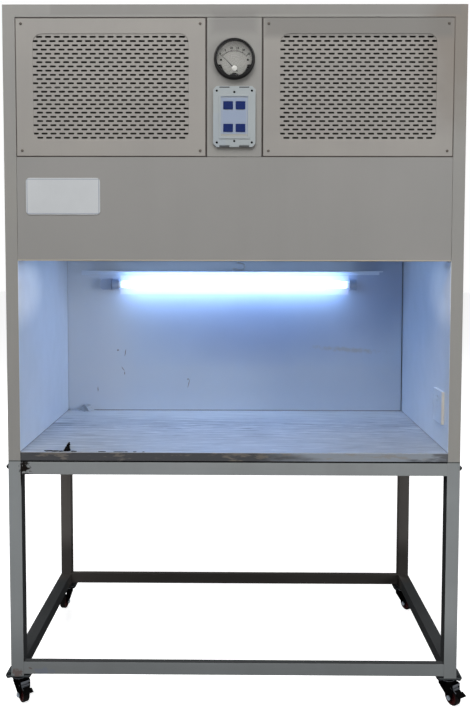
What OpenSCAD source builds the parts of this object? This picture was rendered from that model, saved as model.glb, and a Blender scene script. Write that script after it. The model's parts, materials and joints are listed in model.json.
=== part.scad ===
// Vertical laminar flow hood on a wheeled square-tube stand.
// Frame: X runs to the right, Y from front to back and Z up. The origin lies on the floor,
// under the middle of the hood. All lengths are in millimetres, all angles in degrees.

/* [Cabinet] */
// Width over the side panels
cab_w = 1350; // [1300:10:1500]
// Depth from the front plane to the rear panel
cab_d = 660; // [640:5:760]
// Height of the cabinet above the stand
cab_h = 1340; // [1320:10:1500]
// Side of the square tube of the cabinet frame
frame_tube = 35; // [30:1:40]
// Wall of the cabinet frame tube
frame_wall = 1.5; // [1:0.1:2.5]
// Thickness of the painted sheet panels
skin = 1.2; // [0.8:0.1:2]
// Depth of the folded edges of the front panels
panel_depth = 15; // [10:1:20]
// Gap between neighbouring front panels
seam = 1.5; // [0.5:0.1:3]
// How far a panel's edge reaches over the rail behind it
seam_land = 10; // [8:0.5:14]
// Height of the header panel
header_h = 304; // [300:2:330]

/* [Working chamber] */
// Height of the working opening above the work surface
opening_h = 572; // [500:4:600]
// Space from the face of the rear liner to the back of the cabinet
rear_space = 50; // [45:1:90]
// Height of the work surface above the stand
table_h = 26; // [22:1:40]
// Thickness of the stainless work surface
table_t = 1.2; // [0.8:0.1:2]
// Thickness of the liner sheets
liner_t = 1.2; // [0.8:0.1:2]
// Open joint between the rear liner and the right liner
corner_gap = 3; // [0.5:0.5:5]

/* [Air path] */
// Height of the main filter
hepa_h = 150; // [90:5:170]
// Width of the filter's seat on its ring of tubes
hepa_seat = 6; // [4:0.5:12]
// Thickness of the filter frame's walls
hepa_wall = 15; // [10:1:20]
// Number of pleats in the main filter
pleats = 48; // [24:2:60]
// Thickness of the blower deck and of the pre-filter frame
plate_t = 2; // [1.5:0.5:4]
// Thickness of each pre-filter
pre_t = 20; // [12:1:24]
// Outer radius of the blower impeller
impeller_r = 110; // [90:2:120]
// Width of the blower impeller
impeller_w = 190; // [140:5:220]
// Number of impeller blades
blades = 32; // [16:2:40]
// Radius of the blower motor
motor_r = 58; // [45:1:70]
// Radius of the motor shaft
shaft_r = 6; // [5:0.5:8]
// Radial clearance of turning shafts
run_gap = 0.05; // [0.02:0.01:0.1]

/* [Grilles] */
// Width of the console panel between the grilles
console_w = 162; // [150:2:200]
// Width of the window in a grille
window_w = 454; // [400:2:470]
// Height of the window in a grille
window_h = 308; // [260:2:330]
// Corner radius of the window
window_r = 27; // [10:1:40]
// Length of a slot
slot_w = 18; // [12:0.5:20]
// Height of a slot
slot_h = 5.6; // [3:0.1:7]
// Spacing of the slots along a row
slot_pitch = 26; // [22:0.5:34]
// Spacing of the rows of slots
row_pitch = 12.1; // [10:0.1:16]
// How far the slotted sheet reaches behind the window's edge
mesh_lap = 10; // [8:1:14]
// Thickness of the slotted sheet
mesh_t = 1; // [0.6:0.1:1.5]
// Distance of a panel screw from the grille's edges
screw_inset = 17; // [12:1:20]
// Height of the bar across the pre-filter frame's windows
bar_h = 15; // [8:1:24]

/* [Console] */
// Outer radius of the gauge's bezel
gauge_r = 60; // [50:1:65]
// Radius of the open face of the gauge
face_r = 51.5; // [40:0.5:52]
// Height of the gauge's centre below the top strip
gauge_drop = 119.8; // [80:0.2:130]
// How far the gauge stands out of the panel
gauge_proud = 15; // [12:1:24]
// Radius of the gauge body behind the panel
gauge_body_r = 55; // [53:0.5:58]
// Depth of the gauge body behind the panel
gauge_depth = 26; // [16:1:40]
// How far the pointer's pivot lies below the dial's centre
pivot_drop = 26.5; // [20:0.5:30]
// Length of the pointer beyond its pivot
pointer_len = 47; // [30:1:48]
// Angle of the resting pointer to the left of upright
pointer_rest = 45; // [30:1:50]
// Width of the keypad plate
keypad_w = 123; // [110:1:140]
// Height of the keypad plate
keypad_h = 175; // [165:1:190]
// How far the keypad plate stands out of the panel
keypad_proud = 7; // [6:0.5:12]
// Distance from the gauge's centre to the keypad's centre
keypad_drop = 167; // [160:1:180]
// Width of the keypad's label
label_w = 78; // [72:1:90]
// Height of the keypad's label
label_h = 115; // [100:1:130]
// Width of a key
key_w = 27.5; // [20:0.5:30]
// Height of a key
key_h = 23; // [18:0.5:28]
// Spacing of the keys from left to right
key_pitch_x = 36; // [33:0.5:40]
// Spacing of the keys from top to bottom
key_pitch_z = 65; // [50:1:70]
// Travel of a key
key_travel = 1; // [0.5:0.1:1.5]
// Clearance around a key
key_gap = 0.3; // [0.2:0.05:0.5]
// Width of the bare plate on the header
plate_w = 218; // [150:2:260]
// Height of the bare plate on the header
plate_h = 107; // [80:1:140]
// Distance of the bare plate from the left upright
plate_left = 27; // [15:1:60]
// Distance of the bare plate's top below the header's top
plate_top = 62; // [40:1:90]

/* [Lamp and socket] */
// Length of the lamp tube between its pins
lamp_len = 894.6; // [580:0.2:1000]
// Radius of the lamp tube
lamp_r = 13; // [8:0.5:19]
// Distance of the lamp's axis in front of the rear liner
lamp_stand = 45; // [35:1:60]
// Height of the lamp's axis below the top of the opening
lamp_drop = 87; // [70:1:110]
// Width of the shade over the lamp
shade_w = 1100; // [1000:10:1150]
// Depth of the shade
shade_depth = 70; // [60:1:90]
// Height of the shade's underside above the lamp's axis
shade_lift = 50; // [30:1:60]
// Thickness of the lamp lead
lead_d = 3.6; // [2.5:0.1:4]
// Depth of the socket cover along the side wall
socket_w = 90; // [70:1:120]
// Height of the socket cover
socket_h = 100; // [80:1:130]
// Thickness of the socket cover
socket_t = 8; // [5:0.5:12]
// Height of the socket's centre above the work surface
socket_lift = 126; // [80:1:200]
// Distance of the socket's front edge behind the front plane
socket_in = 45; // [40:1:120]

/* [Stand] */
// Height of the leg tops above the floor
stand_h = 748; // [640:4:900]
// Side of the square tube of the stand
tube = 38; // [35:1:45]
// Wall of the stand tube
tube_wall = 2; // [1.5:0.1:3]
// Thickness of the cap on each leg
cap_t = 4; // [2:0.5:6]
// Thickness of the foot plate under each leg
foot_t = 3; // [3:0.5:8]
// Height of the lower rails above the foot plates
rail_lift = 6; // [6:1:150]
// Depth of the lower rails from front to back
rail_t = 19; // [16:1:38]
// Across flats of the stand's bolts
bolt_af = 13; // [10:1:17]
// Radius of the stand's bolts
bolt_r = 4; // [3:0.5:5]

/* [Casters] */
// Height of a caster from the floor to its top plate
caster_h = 82; // [80:1:95]
// Radius of a wheel
wheel_r = 25; // [20:0.5:26]
// Width of a wheel
wheel_w = 20; // [16:0.5:23]
// Distance of the wheel's axle behind the swivel axis
trail = 24; // [20:0.5:26]
// Width of a caster's top plate
pad_w = 76; // [70:1:90]
// Depth of a caster's top plate
pad_d = 58; // [56:1:70]
// Thickness of a caster's top plate
pad_t = 3; // [2:0.5:4]
// Radius of the swivel race
race_r = 24; // [20:0.5:26]
// Thickness of the fork's sheet
fork_t = 3; // [2:0.5:3.5]
// Inside width of the fork
fork_in = 26; // [25:0.5:30]
// Radius of the axle
axle_r = 4; // [3:0.5:5]
// Swivel angle of the left front caster from straight ahead
swivel_fl = 39; // [-60:1:60]
// Swivel angle of the right front caster from straight ahead
swivel_fr = 29; // [-60:1:60]
// Swivel angle of the left rear caster from straight ahead
swivel_rl = -10; // [-60:1:60]
// Swivel angle of the right rear caster from straight ahead
swivel_rr = 30; // [-60:1:60]

/* [Hidden] */

// Colours
paint = [0.59, 0.58, 0.56];
grille_paint = [0.63, 0.61, 0.58];
stand_paint = [0.47, 0.49, 0.49];
liner_white = [0.86, 0.88, 0.92];
steel = [0.72, 0.73, 0.75];
dark = [0.12, 0.12, 0.13];

// Overall planes
half_w = cab_w / 2;
front = -cab_d / 2;
back = cab_d / 2;
top = stand_h + cab_h;

// Cabinet frame
post_in = half_w - skin - frame_tube;
rear_tube = back - skin - frame_tube;
table_top = stand_h + table_h;
base_h = table_h - table_t;
opening_top = table_top + opening_h;
panel_seam = opening_top + header_h;
mid_rail = panel_seam - seam_land;
strip = top - skin - frame_tube;
rail_front = front + panel_depth;

// Chamber
room_half = post_in - liner_t;
rear_face = back - rear_space;
fit_gap = 0.4;

// Filter ring: four tubes round the outlet of the filter
ring_top = opening_top + frame_tube;
ring_front = rail_front + frame_tube;
ring_rear = rear_tube - frame_tube;
ring_half = post_in - frame_tube;

// Front panels
grille_in = console_w / 2 + seam;
grille_out = post_in - seam / 2;
grille_w = grille_out - grille_in;
grille_x = (grille_in + grille_out) / 2;
grille_bottom = panel_seam + seam / 2;
grille_top = strip - seam;
grille_z = (grille_bottom + grille_top) / 2;
plate_back = rail_front + plate_t;

// Stand
leg_x = half_w - tube / 2;
leg_y = cab_d / 2 - tube / 2;
leg_bottom = caster_h + foot_t;
leg_top = stand_h - cap_t;
upper_z = leg_top - tube / 2;
lower_z = leg_bottom + rail_lift + tube / 2;
end_plate_t = 3;
hole_gap = 0.5;

// Casters
pad_y = cab_d / 2 - pad_d / 2;
pad_corner = 7;
pad_hole_x = 29;
pad_hole_y = 21;
pad_bolt_r = 3.5;
pin_r = 5;
race_gap = 0.4;
crown_z = wheel_r + 41;
crown_top = caster_h - pad_t - race_gap;
pedal_y = -30;
pedal_z = wheel_r + 30.2;
pedal_pin_r = 3;

// Console
gauge_z = strip - gauge_drop;
keypad_z = gauge_z - keypad_drop;
glass_t = 2.5;
dial_t = 1;
pointer_t = 0.8;
staff_r = 1.5;
dial_sink = 4;
pointer_lift = 0.6;
boss_r = 17;
boss_h = 5;
boss_drop = 57;
lens_r = face_r + 1.6;
keypad_wall = 3;
keypad_sink = 2;
keypad_screw_r = 1.5;
keypad_head_r = 3;
screw_r = 2;
screw_head_r = 4;
screw_head_h = 2.6;

// Blower
blower_x = -60;
blower_lift = 190;
blower_z = mid_rail + blower_lift;
scroll_t = 1.5;
scroll_w = impeller_w + 20 + 2 * scroll_t;
scroll_r = impeller_r + 15;
scroll_grow = 45;
outlet_y0 = -scroll_r - scroll_grow;
outlet_y1 = scroll_r * cos(50);
inlet_r = impeller_r - 15;
motor_len = 110;
motor_x = blower_x + scroll_w / 2 + 12;

// Mains inlet
gland_r = 10;
gland_inset = 195;
gland_lift = 150;
gland_x = half_w - gland_inset;
gland_z = stand_h + gland_lift;
lead_hole_r = 4.5;

// Lamp
lamp_y = rear_face - lamp_stand;
lamp_z = opening_top - lamp_drop;
lamp_x = -3;
shade_x = -3;
shade_z = lamp_z + shade_lift;
pin_len = 6;

// ---- Shared shapes ----

// A square tube of side s and wall w that runs from 0 to len along Z
module square_tube(s, w, len) {
    linear_extrude(len) difference() {
        square(s, center = true);
        square(s - 2 * w, center = true);
    }
}

// A rectangular tube along X from x0 to x1, with its cross-section given by y0, y1, z0, z1
module tube_x(x0, x1, y0, y1, z0, z1, w) {
    translate([x0, y0, z0]) difference() {
        cube([x1 - x0, y1 - y0, z1 - z0]);
        translate([-1, w, w]) cube([x1 - x0 + 2, y1 - y0 - 2 * w, z1 - z0 - 2 * w]);
    }
}

// A rectangular tube along Y from y0 to y1
module tube_y(x0, x1, y0, y1, z0, z1, w) {
    translate([x0, y0, z0]) difference() {
        cube([x1 - x0, y1 - y0, z1 - z0]);
        translate([w, -1, w]) cube([x1 - x0 - 2 * w, y1 - y0 + 2, z1 - z0 - 2 * w]);
    }
}

// A plain block between two corners
module block(x0, x1, y0, y1, z0, z1) {
    translate([x0, y0, z0]) cube([x1 - x0, y1 - y0, z1 - z0]);
}

// A child and its mirror image in the middle plane
module both_sides() {
    children();
    mirror([1, 0, 0]) children();
}

// A 2D outline in X and Z, raised along -Y from y by t towards the front
module front_plate(y, t) {
    translate([0, y, 0]) rotate([90, 0, 0]) linear_extrude(t) children();
}

// A cylinder along Y, from y towards the front by len
module rod_y(x, y, z, r, len) {
    translate([x, y, z]) rotate([90, 0, 0]) cylinder(r = r, h = len, $fn = 48);
}

// A cylinder along X, starting at x
module rod_x(x, y, z, r, len) {
    translate([x, y, z]) rotate([0, 90, 0]) cylinder(r = r, h = len, $fn = 48);
}

// A rectangle with round corners, centred on a point
module round_rect(x, z, w, h, r) {
    translate([x, z]) union() {
        square([w - 2 * r, h], center = true);
        square([w, h - 2 * r], center = true);
        for (sx = [-1, 1], sz = [-1, 1])
            translate([sx * (w / 2 - r), sz * (h / 2 - r)]) circle(r = r, $fn = 48);
    }
}

// A sheet with its four edges folded back, its face in the front plane
module front_pan(x0, x1, z0, z1) {
    difference() {
        block(x0, x1, front, rail_front, z0, z1);
        block(x0 + skin, x1 - skin, front + skin, rail_front + 1, z0 + skin, z1 - skin);
    }
}

// ---- Stand ----

module leg(y) {
    translate([leg_x, y, leg_bottom]) difference() {
        square_tube(tube, tube_wall, leg_top - leg_bottom);
        rod_x(-tube, 0, upper_z - leg_bottom, bolt_r + hole_gap, 2 * tube);
    }
    translate([leg_x, y, leg_top + cap_t / 2]) cube([tube, tube, cap_t], center = true);
    translate([leg_x, sign(y) * pad_y, caster_h]) linear_extrude(foot_t) pad_outline();
}

// The outline of a foot plate or caster plate with its four bolt holes
module pad_outline() {
    difference() {
        square([pad_w, pad_d], center = true);
        for (a = [0, 180], m = [0, 1]) rotate(a) mirror([m, 0])
            translate([pad_w / 2, pad_d / 2]) rotate(45) square(pad_corner * sqrt(2), center = true);
        for (sx = [-1, 1], sy = [-1, 1])
            translate([sx * pad_hole_x, sy * pad_hole_y]) circle(r = pad_bolt_r + hole_gap, $fn = 32);
    }
}

module end_frame() {
    for (s = [-1, 1]) leg(s * leg_y);
    inner = leg_y - tube / 2;
    x0 = leg_x - tube / 2;
    for (z = [upper_z, lower_z])
        tube_y(x0, x0 + tube, -inner, inner, z - tube / 2, z + tube / 2, tube_wall);
}

module left_end_frame() {
    color(stand_paint) mirror([1, 0, 0]) end_frame();
}

module right_end_frame() {
    color(stand_paint) end_frame();
}

// A rail between the end frames, closed by end plates that take the bolts
module bolted_rail(side) {
    len = half_w - tube;
    y0 = side * leg_y - tube / 2;
    z0 = upper_z - tube / 2;
    color(stand_paint) difference() {
        union() {
            tube_x(-len, len, y0, y0 + tube, z0, z0 + tube, tube_wall);
            both_sides() block(len - end_plate_t, len, y0, y0 + tube, z0, z0 + tube);
        }
        rod_x(-half_w, side * leg_y, upper_z, bolt_r + hole_gap, cab_w);
    }
}

module welded_rail(side) {
    len = half_w - tube;
    y0 = side * leg_y - tube / 2;
    z0 = lower_z - tube / 2;
    color(stand_paint) tube_x(-len, len, y0, y0 + rail_t, z0, z0 + tube, tube_wall);
}

module upper_front_rail() {
    bolted_rail(-1);
}

module upper_rear_rail() {
    bolted_rail(1);
}

module lower_front_rail() {
    welded_rail(-1);
}

module lower_rear_rail() {
    welded_rail(1);
}

// A bolt with its head inside the rail, and its washer and nut outside the leg
module side_bolt() {
    head_h = 5.3;
    washer_t = 1.6;
    nut_h = 6.5;
    thread_end = 3;
    seat = half_w - tube - end_plate_t;
    hex_d = bolt_af / cos(30);
    rotate([0, 90, 0]) {
        translate([0, 0, seat - head_h]) cylinder(d = hex_d, h = head_h, $fn = 6);
        translate([0, 0, seat - 1]) cylinder(r = bolt_r, h = half_w - seat + 2, $fn = 32);
        translate([0, 0, half_w]) cylinder(d = bolt_af + 3, h = washer_t, $fn = 32);
        translate([0, 0, half_w + washer_t]) cylinder(d = hex_d, h = nut_h, $fn = 6);
        translate([0, 0, half_w + washer_t + nut_h - 1]) cylinder(r = bolt_r, h = thread_end + 1, $fn = 32);
    }
}

// A bolt through a caster plate and the foot plate above it, with its nut on top
module pad_bolt() {
    head_h = 3;
    nut_h = 4;
    head_r = 6;
    pad_bottom = caster_h - pad_t;
    translate([0, 0, pad_bottom - head_h]) cylinder(r = head_r, h = head_h, $fn = 32);
    translate([0, 0, pad_bottom - 1]) cylinder(r = pad_bolt_r, h = pad_t + foot_t + 2, $fn = 32);
    translate([0, 0, leg_bottom]) cylinder(r = head_r, h = nut_h, $fn = 6);
}

module stand_bolts() {
    color(dark) {
        for (s = [-1, 1]) both_sides() translate([0, s * leg_y, upper_z]) side_bolt();
        for (sx = [-1, 1], sy = [-1, 1]) at_caster(sx, sy, 0)
            for (bx = [-1, 1], by = [-1, 1]) translate([bx * pad_hole_x, by * pad_hole_y, 0]) pad_bolt();
    }
}

// ---- Casters ----

// Places a part drawn for a swivel axis at the origin and a wheel trailing towards -Y
module at_caster(side, end, angle) {
    translate([side * leg_x, end * pad_y, 0]) rotate([0, 0, angle]) children();
}

// Top plate with the riveted kingpin that carries the fork
module caster_plates() {
    pin_head_r = 8;
    pin_head_h = 2.5;
    color(dark) for (sx = [-1, 1], sy = [-1, 1]) at_caster(sx, sy, 0) {
        translate([0, 0, caster_h - pad_t]) linear_extrude(pad_t) pad_outline();
        translate([0, 0, crown_z - 0.3]) cylinder(r = pin_r, h = caster_h - pad_t - crown_z + 0.3, $fn = 48);
        translate([0, 0, crown_z - 0.3 - pin_head_h]) cylinder(r = pin_head_r, h = pin_head_h, $fn = 48);
    }
}

// The side outline of the fork, in Y and Z
module fork_cheek() {
    lug_r = 9;
    heel = 20;
    toe = pedal_y - 6.5;
    cheek_top = crown_z + fork_t;
    knee_z = wheel_r + 24;
    polygon([
        [toe, cheek_top], [heel, cheek_top], [heel, knee_z],
        [lug_r - trail, wheel_r], [-trail - lug_r, wheel_r], [toe, knee_z]
    ]);
    translate([-trail, wheel_r]) circle(r = lug_r, $fn = 48);
}

// The fork: a swivel race with two cheeks that hold the axle and the pedal's pin
module fork() {
    cheek = fork_in / 2;
    difference() {
        union() {
            translate([0, 0, crown_z]) cylinder(r = race_r, h = crown_top - crown_z, $fn = 64);
            block(-cheek - fork_t, cheek + fork_t, -race_r + 2, 20, crown_z, crown_z + fork_t);
            both_sides() translate([cheek, 0, 0]) rotate([90, 0, 90]) linear_extrude(fork_t) fork_cheek();
        }
        translate([0, 0, crown_z - 1]) cylinder(r = pin_r + run_gap, h = caster_h, $fn = 48);
        rod_x(-fork_in, -trail, wheel_r, axle_r + run_gap, 2 * fork_in);
        rod_x(-fork_in, pedal_y, pedal_z, pedal_pin_r + run_gap, 2 * fork_in);
    }
}

// The wheel: a round-shouldered tread on a rim with a wide hub
module wheel() {
    hub_half = fork_in / 2 - 0.6;
    half = wheel_w / 2;
    bore = axle_r + run_gap;
    hub_r = axle_r + 4;
    rim_r = wheel_r - 7;
    rim_half = half - 3;
    shoulder = 3;
    translate([0, -trail, wheel_r]) rotate([0, 90, 0]) rotate_extrude($fn = 72) polygon([
        [bore, -hub_half], [hub_r, -hub_half], [hub_r, -rim_half], [rim_r, -rim_half],
        [rim_r + 1, -half], [wheel_r - shoulder, -half], [wheel_r - 0.8, -half + 1.5],
        [wheel_r, -half + shoulder + 1], [wheel_r, half - shoulder - 1],
        [wheel_r - 0.8, half - 1.5], [wheel_r - shoulder, half], [rim_r + 1, half],
        [rim_r, rim_half], [hub_r, rim_half], [hub_r, hub_half], [bore, hub_half]
    ]);
}

// The axle bolt with its nut
module axle() {
    head_h = 4;
    hex_d = (axle_r * 3.2) / cos(30);
    outer = fork_in / 2 + fork_t;
    rod_x(-outer - 1, -trail, wheel_r, axle_r, 2 * outer + 2);
    rod_x(-outer - head_h - 2, -trail, wheel_r, axle_r - 0.6, head_h + 2);
    translate([outer, -trail, wheel_r]) rotate([0, 90, 0]) cylinder(d = hex_d, h = head_h, $fn = 6);
    translate([-outer - head_h, -trail, wheel_r]) rotate([0, 90, 0]) cylinder(d = hex_d, h = head_h, $fn = 6);
}

// The brake pedal: a pin through the fork's cheeks with a lever over the wheel
module pedal() {
    reach = 23;
    slope = 22;
    lever_t = 2.5;
    lever_w = fork_in - 4;
    foot_w = fork_in + 4;
    foot_d = 16;
    pin_half = fork_in / 2 + fork_t + 1;
    rod_x(-pin_half, pedal_y, pedal_z, pedal_pin_r, 2 * pin_half);
    translate([0, pedal_y, pedal_z]) rotate([slope, 0, 0]) {
        translate([-lever_w / 2, -reach, -lever_t / 2]) cube([lever_w, reach, lever_t]);
        translate([-foot_w / 2, -reach - foot_d + 3, -lever_t / 2]) cube([foot_w, foot_d, lever_t]);
        translate([-lever_w / 2, -11, 0]) cube([lever_w, lever_t, 7]);
    }
}

module front_left_fork() {
    color(dark) at_caster(-1, -1, swivel_fl) fork();
}

module front_right_fork() {
    color(dark) at_caster(1, -1, swivel_fr) fork();
}

module rear_left_fork() {
    color(dark) at_caster(-1, 1, swivel_rl) fork();
}

module rear_right_fork() {
    color(dark) at_caster(1, 1, swivel_rr) fork();
}

module front_left_wheel() {
    color(dark) at_caster(-1, -1, swivel_fl) wheel();
}

module front_right_wheel() {
    color(dark) at_caster(1, -1, swivel_fr) wheel();
}

module rear_left_wheel() {
    color(dark) at_caster(-1, 1, swivel_rl) wheel();
}

module rear_right_wheel() {
    color(dark) at_caster(1, 1, swivel_rr) wheel();
}

module front_left_axle() {
    color(steel) at_caster(-1, -1, swivel_fl) axle();
}

module front_right_axle() {
    color(steel) at_caster(1, -1, swivel_fr) axle();
}

module rear_left_axle() {
    color(steel) at_caster(-1, 1, swivel_rl) axle();
}

module rear_right_axle() {
    color(steel) at_caster(1, 1, swivel_rr) axle();
}

module left_brake_pedal() {
    color(dark) at_caster(-1, -1, swivel_fl) pedal();
}

module right_brake_pedal() {
    color(dark) at_caster(1, -1, swivel_fr) pedal();
}

// ---- Cabinet frame and panels ----

// A frame tube between the inner faces of the uprights
module cross_rail(y, z) {
    tube_x(-post_in, post_in, y, y + frame_tube, z, z + frame_tube, frame_wall);
}

// A frame tube from a front upright to a rear one, inside each side wall
module wall_rails(z, h) {
    x = post_in;
    both_sides() tube_y(x, x + frame_tube, front + frame_tube, rear_tube, z, z + h, frame_wall);
}

module cabinet_frame() {
    bearer_x = 220;
    base_front = front + table_t + fit_gap;
    base_back = rear_tube + frame_tube;
    ring_z = opening_top;
    color(paint) {
        for (y = [front, rear_tube]) both_sides()
            translate([post_in + frame_tube / 2, y + frame_tube / 2, stand_h])
                square_tube(frame_tube, frame_wall, top - skin - stand_h);
        for (z = [mid_rail, strip, ring_z]) wall_rails(z, frame_tube);
        wall_rails(stand_h, base_h);
        for (y = [front, rear_tube]) cross_rail(y, strip);
        cross_rail(plate_back, mid_rail);
        cross_rail(rear_tube, mid_rail);
        cross_rail(rail_front, ring_z);
        cross_rail(ring_rear, ring_z);
        both_sides() tube_y(ring_half, post_in, ring_front, ring_rear, ring_z, ring_top, frame_wall);
        tube_x(-post_in, post_in, base_front, base_front + frame_tube, stand_h, stand_h + base_h, frame_wall);
        tube_x(-post_in, post_in, rear_tube, base_back, stand_h, stand_h + base_h, frame_wall);
        both_sides() tube_y(bearer_x, bearer_x + frame_tube, base_front + frame_tube, rear_tube,
            stand_h, stand_h + base_h, frame_wall);
    }
}

module side_panel() {
    block(half_w - skin, half_w, front, back, stand_h, top - skin);
}

module left_side_panel() {
    color(paint) mirror([1, 0, 0]) side_panel();
}

module right_side_panel() {
    color(paint) side_panel();
}

module rear_panel() {
    gland_hole_r = gland_r + 0.3;
    color(paint) difference() {
        block(-half_w + skin, half_w - skin, back - skin, back, stand_h, top - skin);
        rod_y(gland_x, back + 1, gland_z, gland_hole_r, skin + 2);
    }
}

module top_cover() {
    color(paint) block(-half_w, half_w, front, back, top - skin, top);
}

module header_panel() {
    color(paint) front_pan(-grille_out, grille_out, opening_top, panel_seam - seam / 2);
}

module console_panel() {
    wire_r = 8;
    x = console_w / 2;
    color(paint) difference() {
        front_pan(-x, x, grille_bottom, grille_top);
        rod_y(0, front + panel_depth, gauge_z, gauge_body_r + fit_gap, 2 * panel_depth);
        rod_y(0, front + panel_depth, keypad_z, wire_r, 2 * panel_depth);
        at_keypad_screws() rod_y(0, front + panel_depth, 0, keypad_screw_r + 0.2, 2 * panel_depth);
    }
}

// The slots of the sheet behind a grille's window: odd rows full, even rows shifted by half
module slot_pattern() {
    rows = floor(window_h / row_pitch / 2) * 2 + 1;
    cols = floor((window_w - slot_w) / slot_pitch) + 1;
    for (r = [0 : rows - 1]) {
        n = r % 2 == 0 ? cols : cols + 1;
        for (c = [0 : n - 1])
            translate([(c - (n - 1) / 2) * slot_pitch, (r - (rows - 1) / 2) * row_pitch])
                square([slot_w, slot_h], center = true);
    }
}

// A grille: a folded panel with a round-cornered window and a slotted sheet behind it
module grille() {
    color(grille_paint) {
        difference() {
            front_pan(grille_in, grille_out, grille_bottom, grille_top);
            front_plate(front + panel_depth, 2 * panel_depth) grille_window();
            at_grille_screws() rod_y(0, front + panel_depth, 0, screw_r + 0.3, 2 * panel_depth);
        }
        translate([grille_x, front + skin + mesh_t, grille_z]) rotate([90, 0, 0])
            linear_extrude(mesh_t) difference() {
                square([window_w + 2 * mesh_lap, window_h + 2 * mesh_lap], center = true);
                slot_pattern();
            }
    }
}

module grille_window() {
    round_rect(grille_x, grille_z, window_w, window_h, window_r);
}

// Places a child at each of the right grille's four screws
module at_grille_screws() {
    for (x = [grille_in + screw_inset, grille_out - screw_inset])
        for (z = [grille_bottom + screw_inset, grille_top - screw_inset])
            translate([x, 0, z]) children();
}

// Places a child at each of the keypad's six screws
module at_keypad_screws() {
    inset_x = 10.5;
    inset_z = 13;
    mid_inset = 17;
    for (sx = [-1, 1], sz = [-1, 1])
        translate([sx * (keypad_w / 2 - inset_x), 0, keypad_z + sz * (keypad_h / 2 - inset_z)]) children();
    for (sz = [-1, 1])
        translate([0, 0, keypad_z + sz * (keypad_h / 2 - mid_inset)]) children();
}

module left_grille() {
    mirror([1, 0, 0]) grille();
}

module right_grille() {
    grille();
}

// Round-headed screws of the grilles and of the keypad plate
module panel_screws() {
    shank = panel_depth + plate_t;
    key_shank = keypad_proud + skin + 3;
    seat = front - keypad_proud + keypad_sink;
    color(steel) {
        both_sides() at_grille_screws() {
            rod_y(0, front, 0, screw_head_r, screw_head_h);
            rod_y(0, front + shank, 0, screw_r, shank + 1);
        }
        at_keypad_screws() {
            rod_y(0, seat, 0, keypad_head_r, keypad_sink - 0.4);
            rod_y(0, seat - 0.5 + key_shank, 0, keypad_screw_r, key_shank);
        }
    }
}

// ---- Air path ----

// The sheet behind the grilles, with two windows a side and one for the gauge and the wires
module prefilter_frame() {
    ease = 8;
    hole_w = window_w + 2 * ease;
    hole_h = window_h + 2 * ease;
    gauge_hole = gauge_body_r + 6;
    half = post_in - fit_gap;
    color(paint) translate([0, plate_back, 0]) rotate([90, 0, 0]) linear_extrude(plate_t) difference() {
        translate([-half, mid_rail]) square([2 * half, strip - mid_rail]);
        for (sx = [-1, 1]) translate([sx * grille_x, grille_z]) difference() {
            square([hole_w, hole_h], center = true);
            square([hole_w + 2, bar_h], center = true);
        }
        translate([0, gauge_z]) circle(r = gauge_hole, $fn = 64);
        translate([-label_w / 2, keypad_z - label_h / 2]) square([label_w, label_h]);
        for (sx = [-1, 1], x = [grille_in + screw_inset, grille_out - screw_inset])
            for (z = [grille_bottom + screw_inset, grille_top - screw_inset])
                translate([sx * x, z]) circle(r = screw_r + 0.1, $fn = 32);
    }
}

// Two pre-filters that stand on the middle rail, behind the windows
module pre_filters() {
    rim = 14;
    sink = 4;
    side = 26;
    w = window_w + 2 * side;
    z0 = mid_rail + frame_tube;
    h = strip - z0 - 6;
    color(dark) both_sides() translate([grille_x - w / 2, plate_back, z0]) difference() {
        cube([w, pre_t, h]);
        translate([rim, -1, rim]) cube([w - 2 * rim, sink + 1, h - 2 * rim]);
        translate([rim, pre_t - sink, rim]) cube([w - 2 * rim, sink + 1, h - 2 * rim]);
    }
}

module side_liner() {
    block(room_half, post_in, front, rear_face, table_top, opening_top);
}

module left_liner() {
    color(liner_white) mirror([1, 0, 0]) side_liner();
}

module right_liner() {
    color(liner_white) side_liner();
}

// The rear liner: a sheet with its edges folded back towards the rear uprights
module rear_liner() {
    x0 = -room_half + fit_gap;
    x1 = room_half - corner_gap;
    z0 = table_top;
    z1 = opening_top;
    color(liner_white) difference() {
        block(x0, x1, rear_face, rear_tube - fit_gap, z0, z1);
        block(x0 + liner_t, x1 - liner_t, rear_face + liner_t, rear_tube + 1, z0 + liner_t, z1 - liner_t);
    }
}

// The stainless work surface: a sheet with its front edge folded down into a lip
module work_surface() {
    x = post_in - fit_gap;
    color(steel) {
        block(-x, x, front, rear_tube - fit_gap, table_top - table_t, table_top);
        block(-x, x, front, front + table_t, stand_h + fit_gap, table_top);
    }
}

// The perforated sheet under the main filter, with its edges folded up inside the ring
module diffuser_screen() {
    x = ring_half - fit_gap;
    y0 = ring_front + fit_gap;
    y1 = ring_rear - fit_gap;
    hole_w = 60;
    hole_d = 10;
    pitch_x = 75;
    pitch_y = 24;
    nx = floor((2 * x - 20) / pitch_x);
    ny = floor((y1 - y0 - 20) / pitch_y);
    edge = 12;
    color(steel) translate([0, (y0 + y1) / 2, opening_top + 1]) {
        linear_extrude(skin) difference() {
            square([2 * x, y1 - y0], center = true);
            for (i = [0 : nx - 1], j = [0 : ny - 1])
                translate([(i - (nx - 1) / 2) * pitch_x, (j - (ny - 1) / 2) * pitch_y])
                    square([hole_w, hole_d], center = true);
        }
        linear_extrude(edge) difference() {
            square([2 * x, y1 - y0], center = true);
            square([2 * (x - skin), y1 - y0 - 2 * skin], center = true);
        }
    }
}

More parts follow.
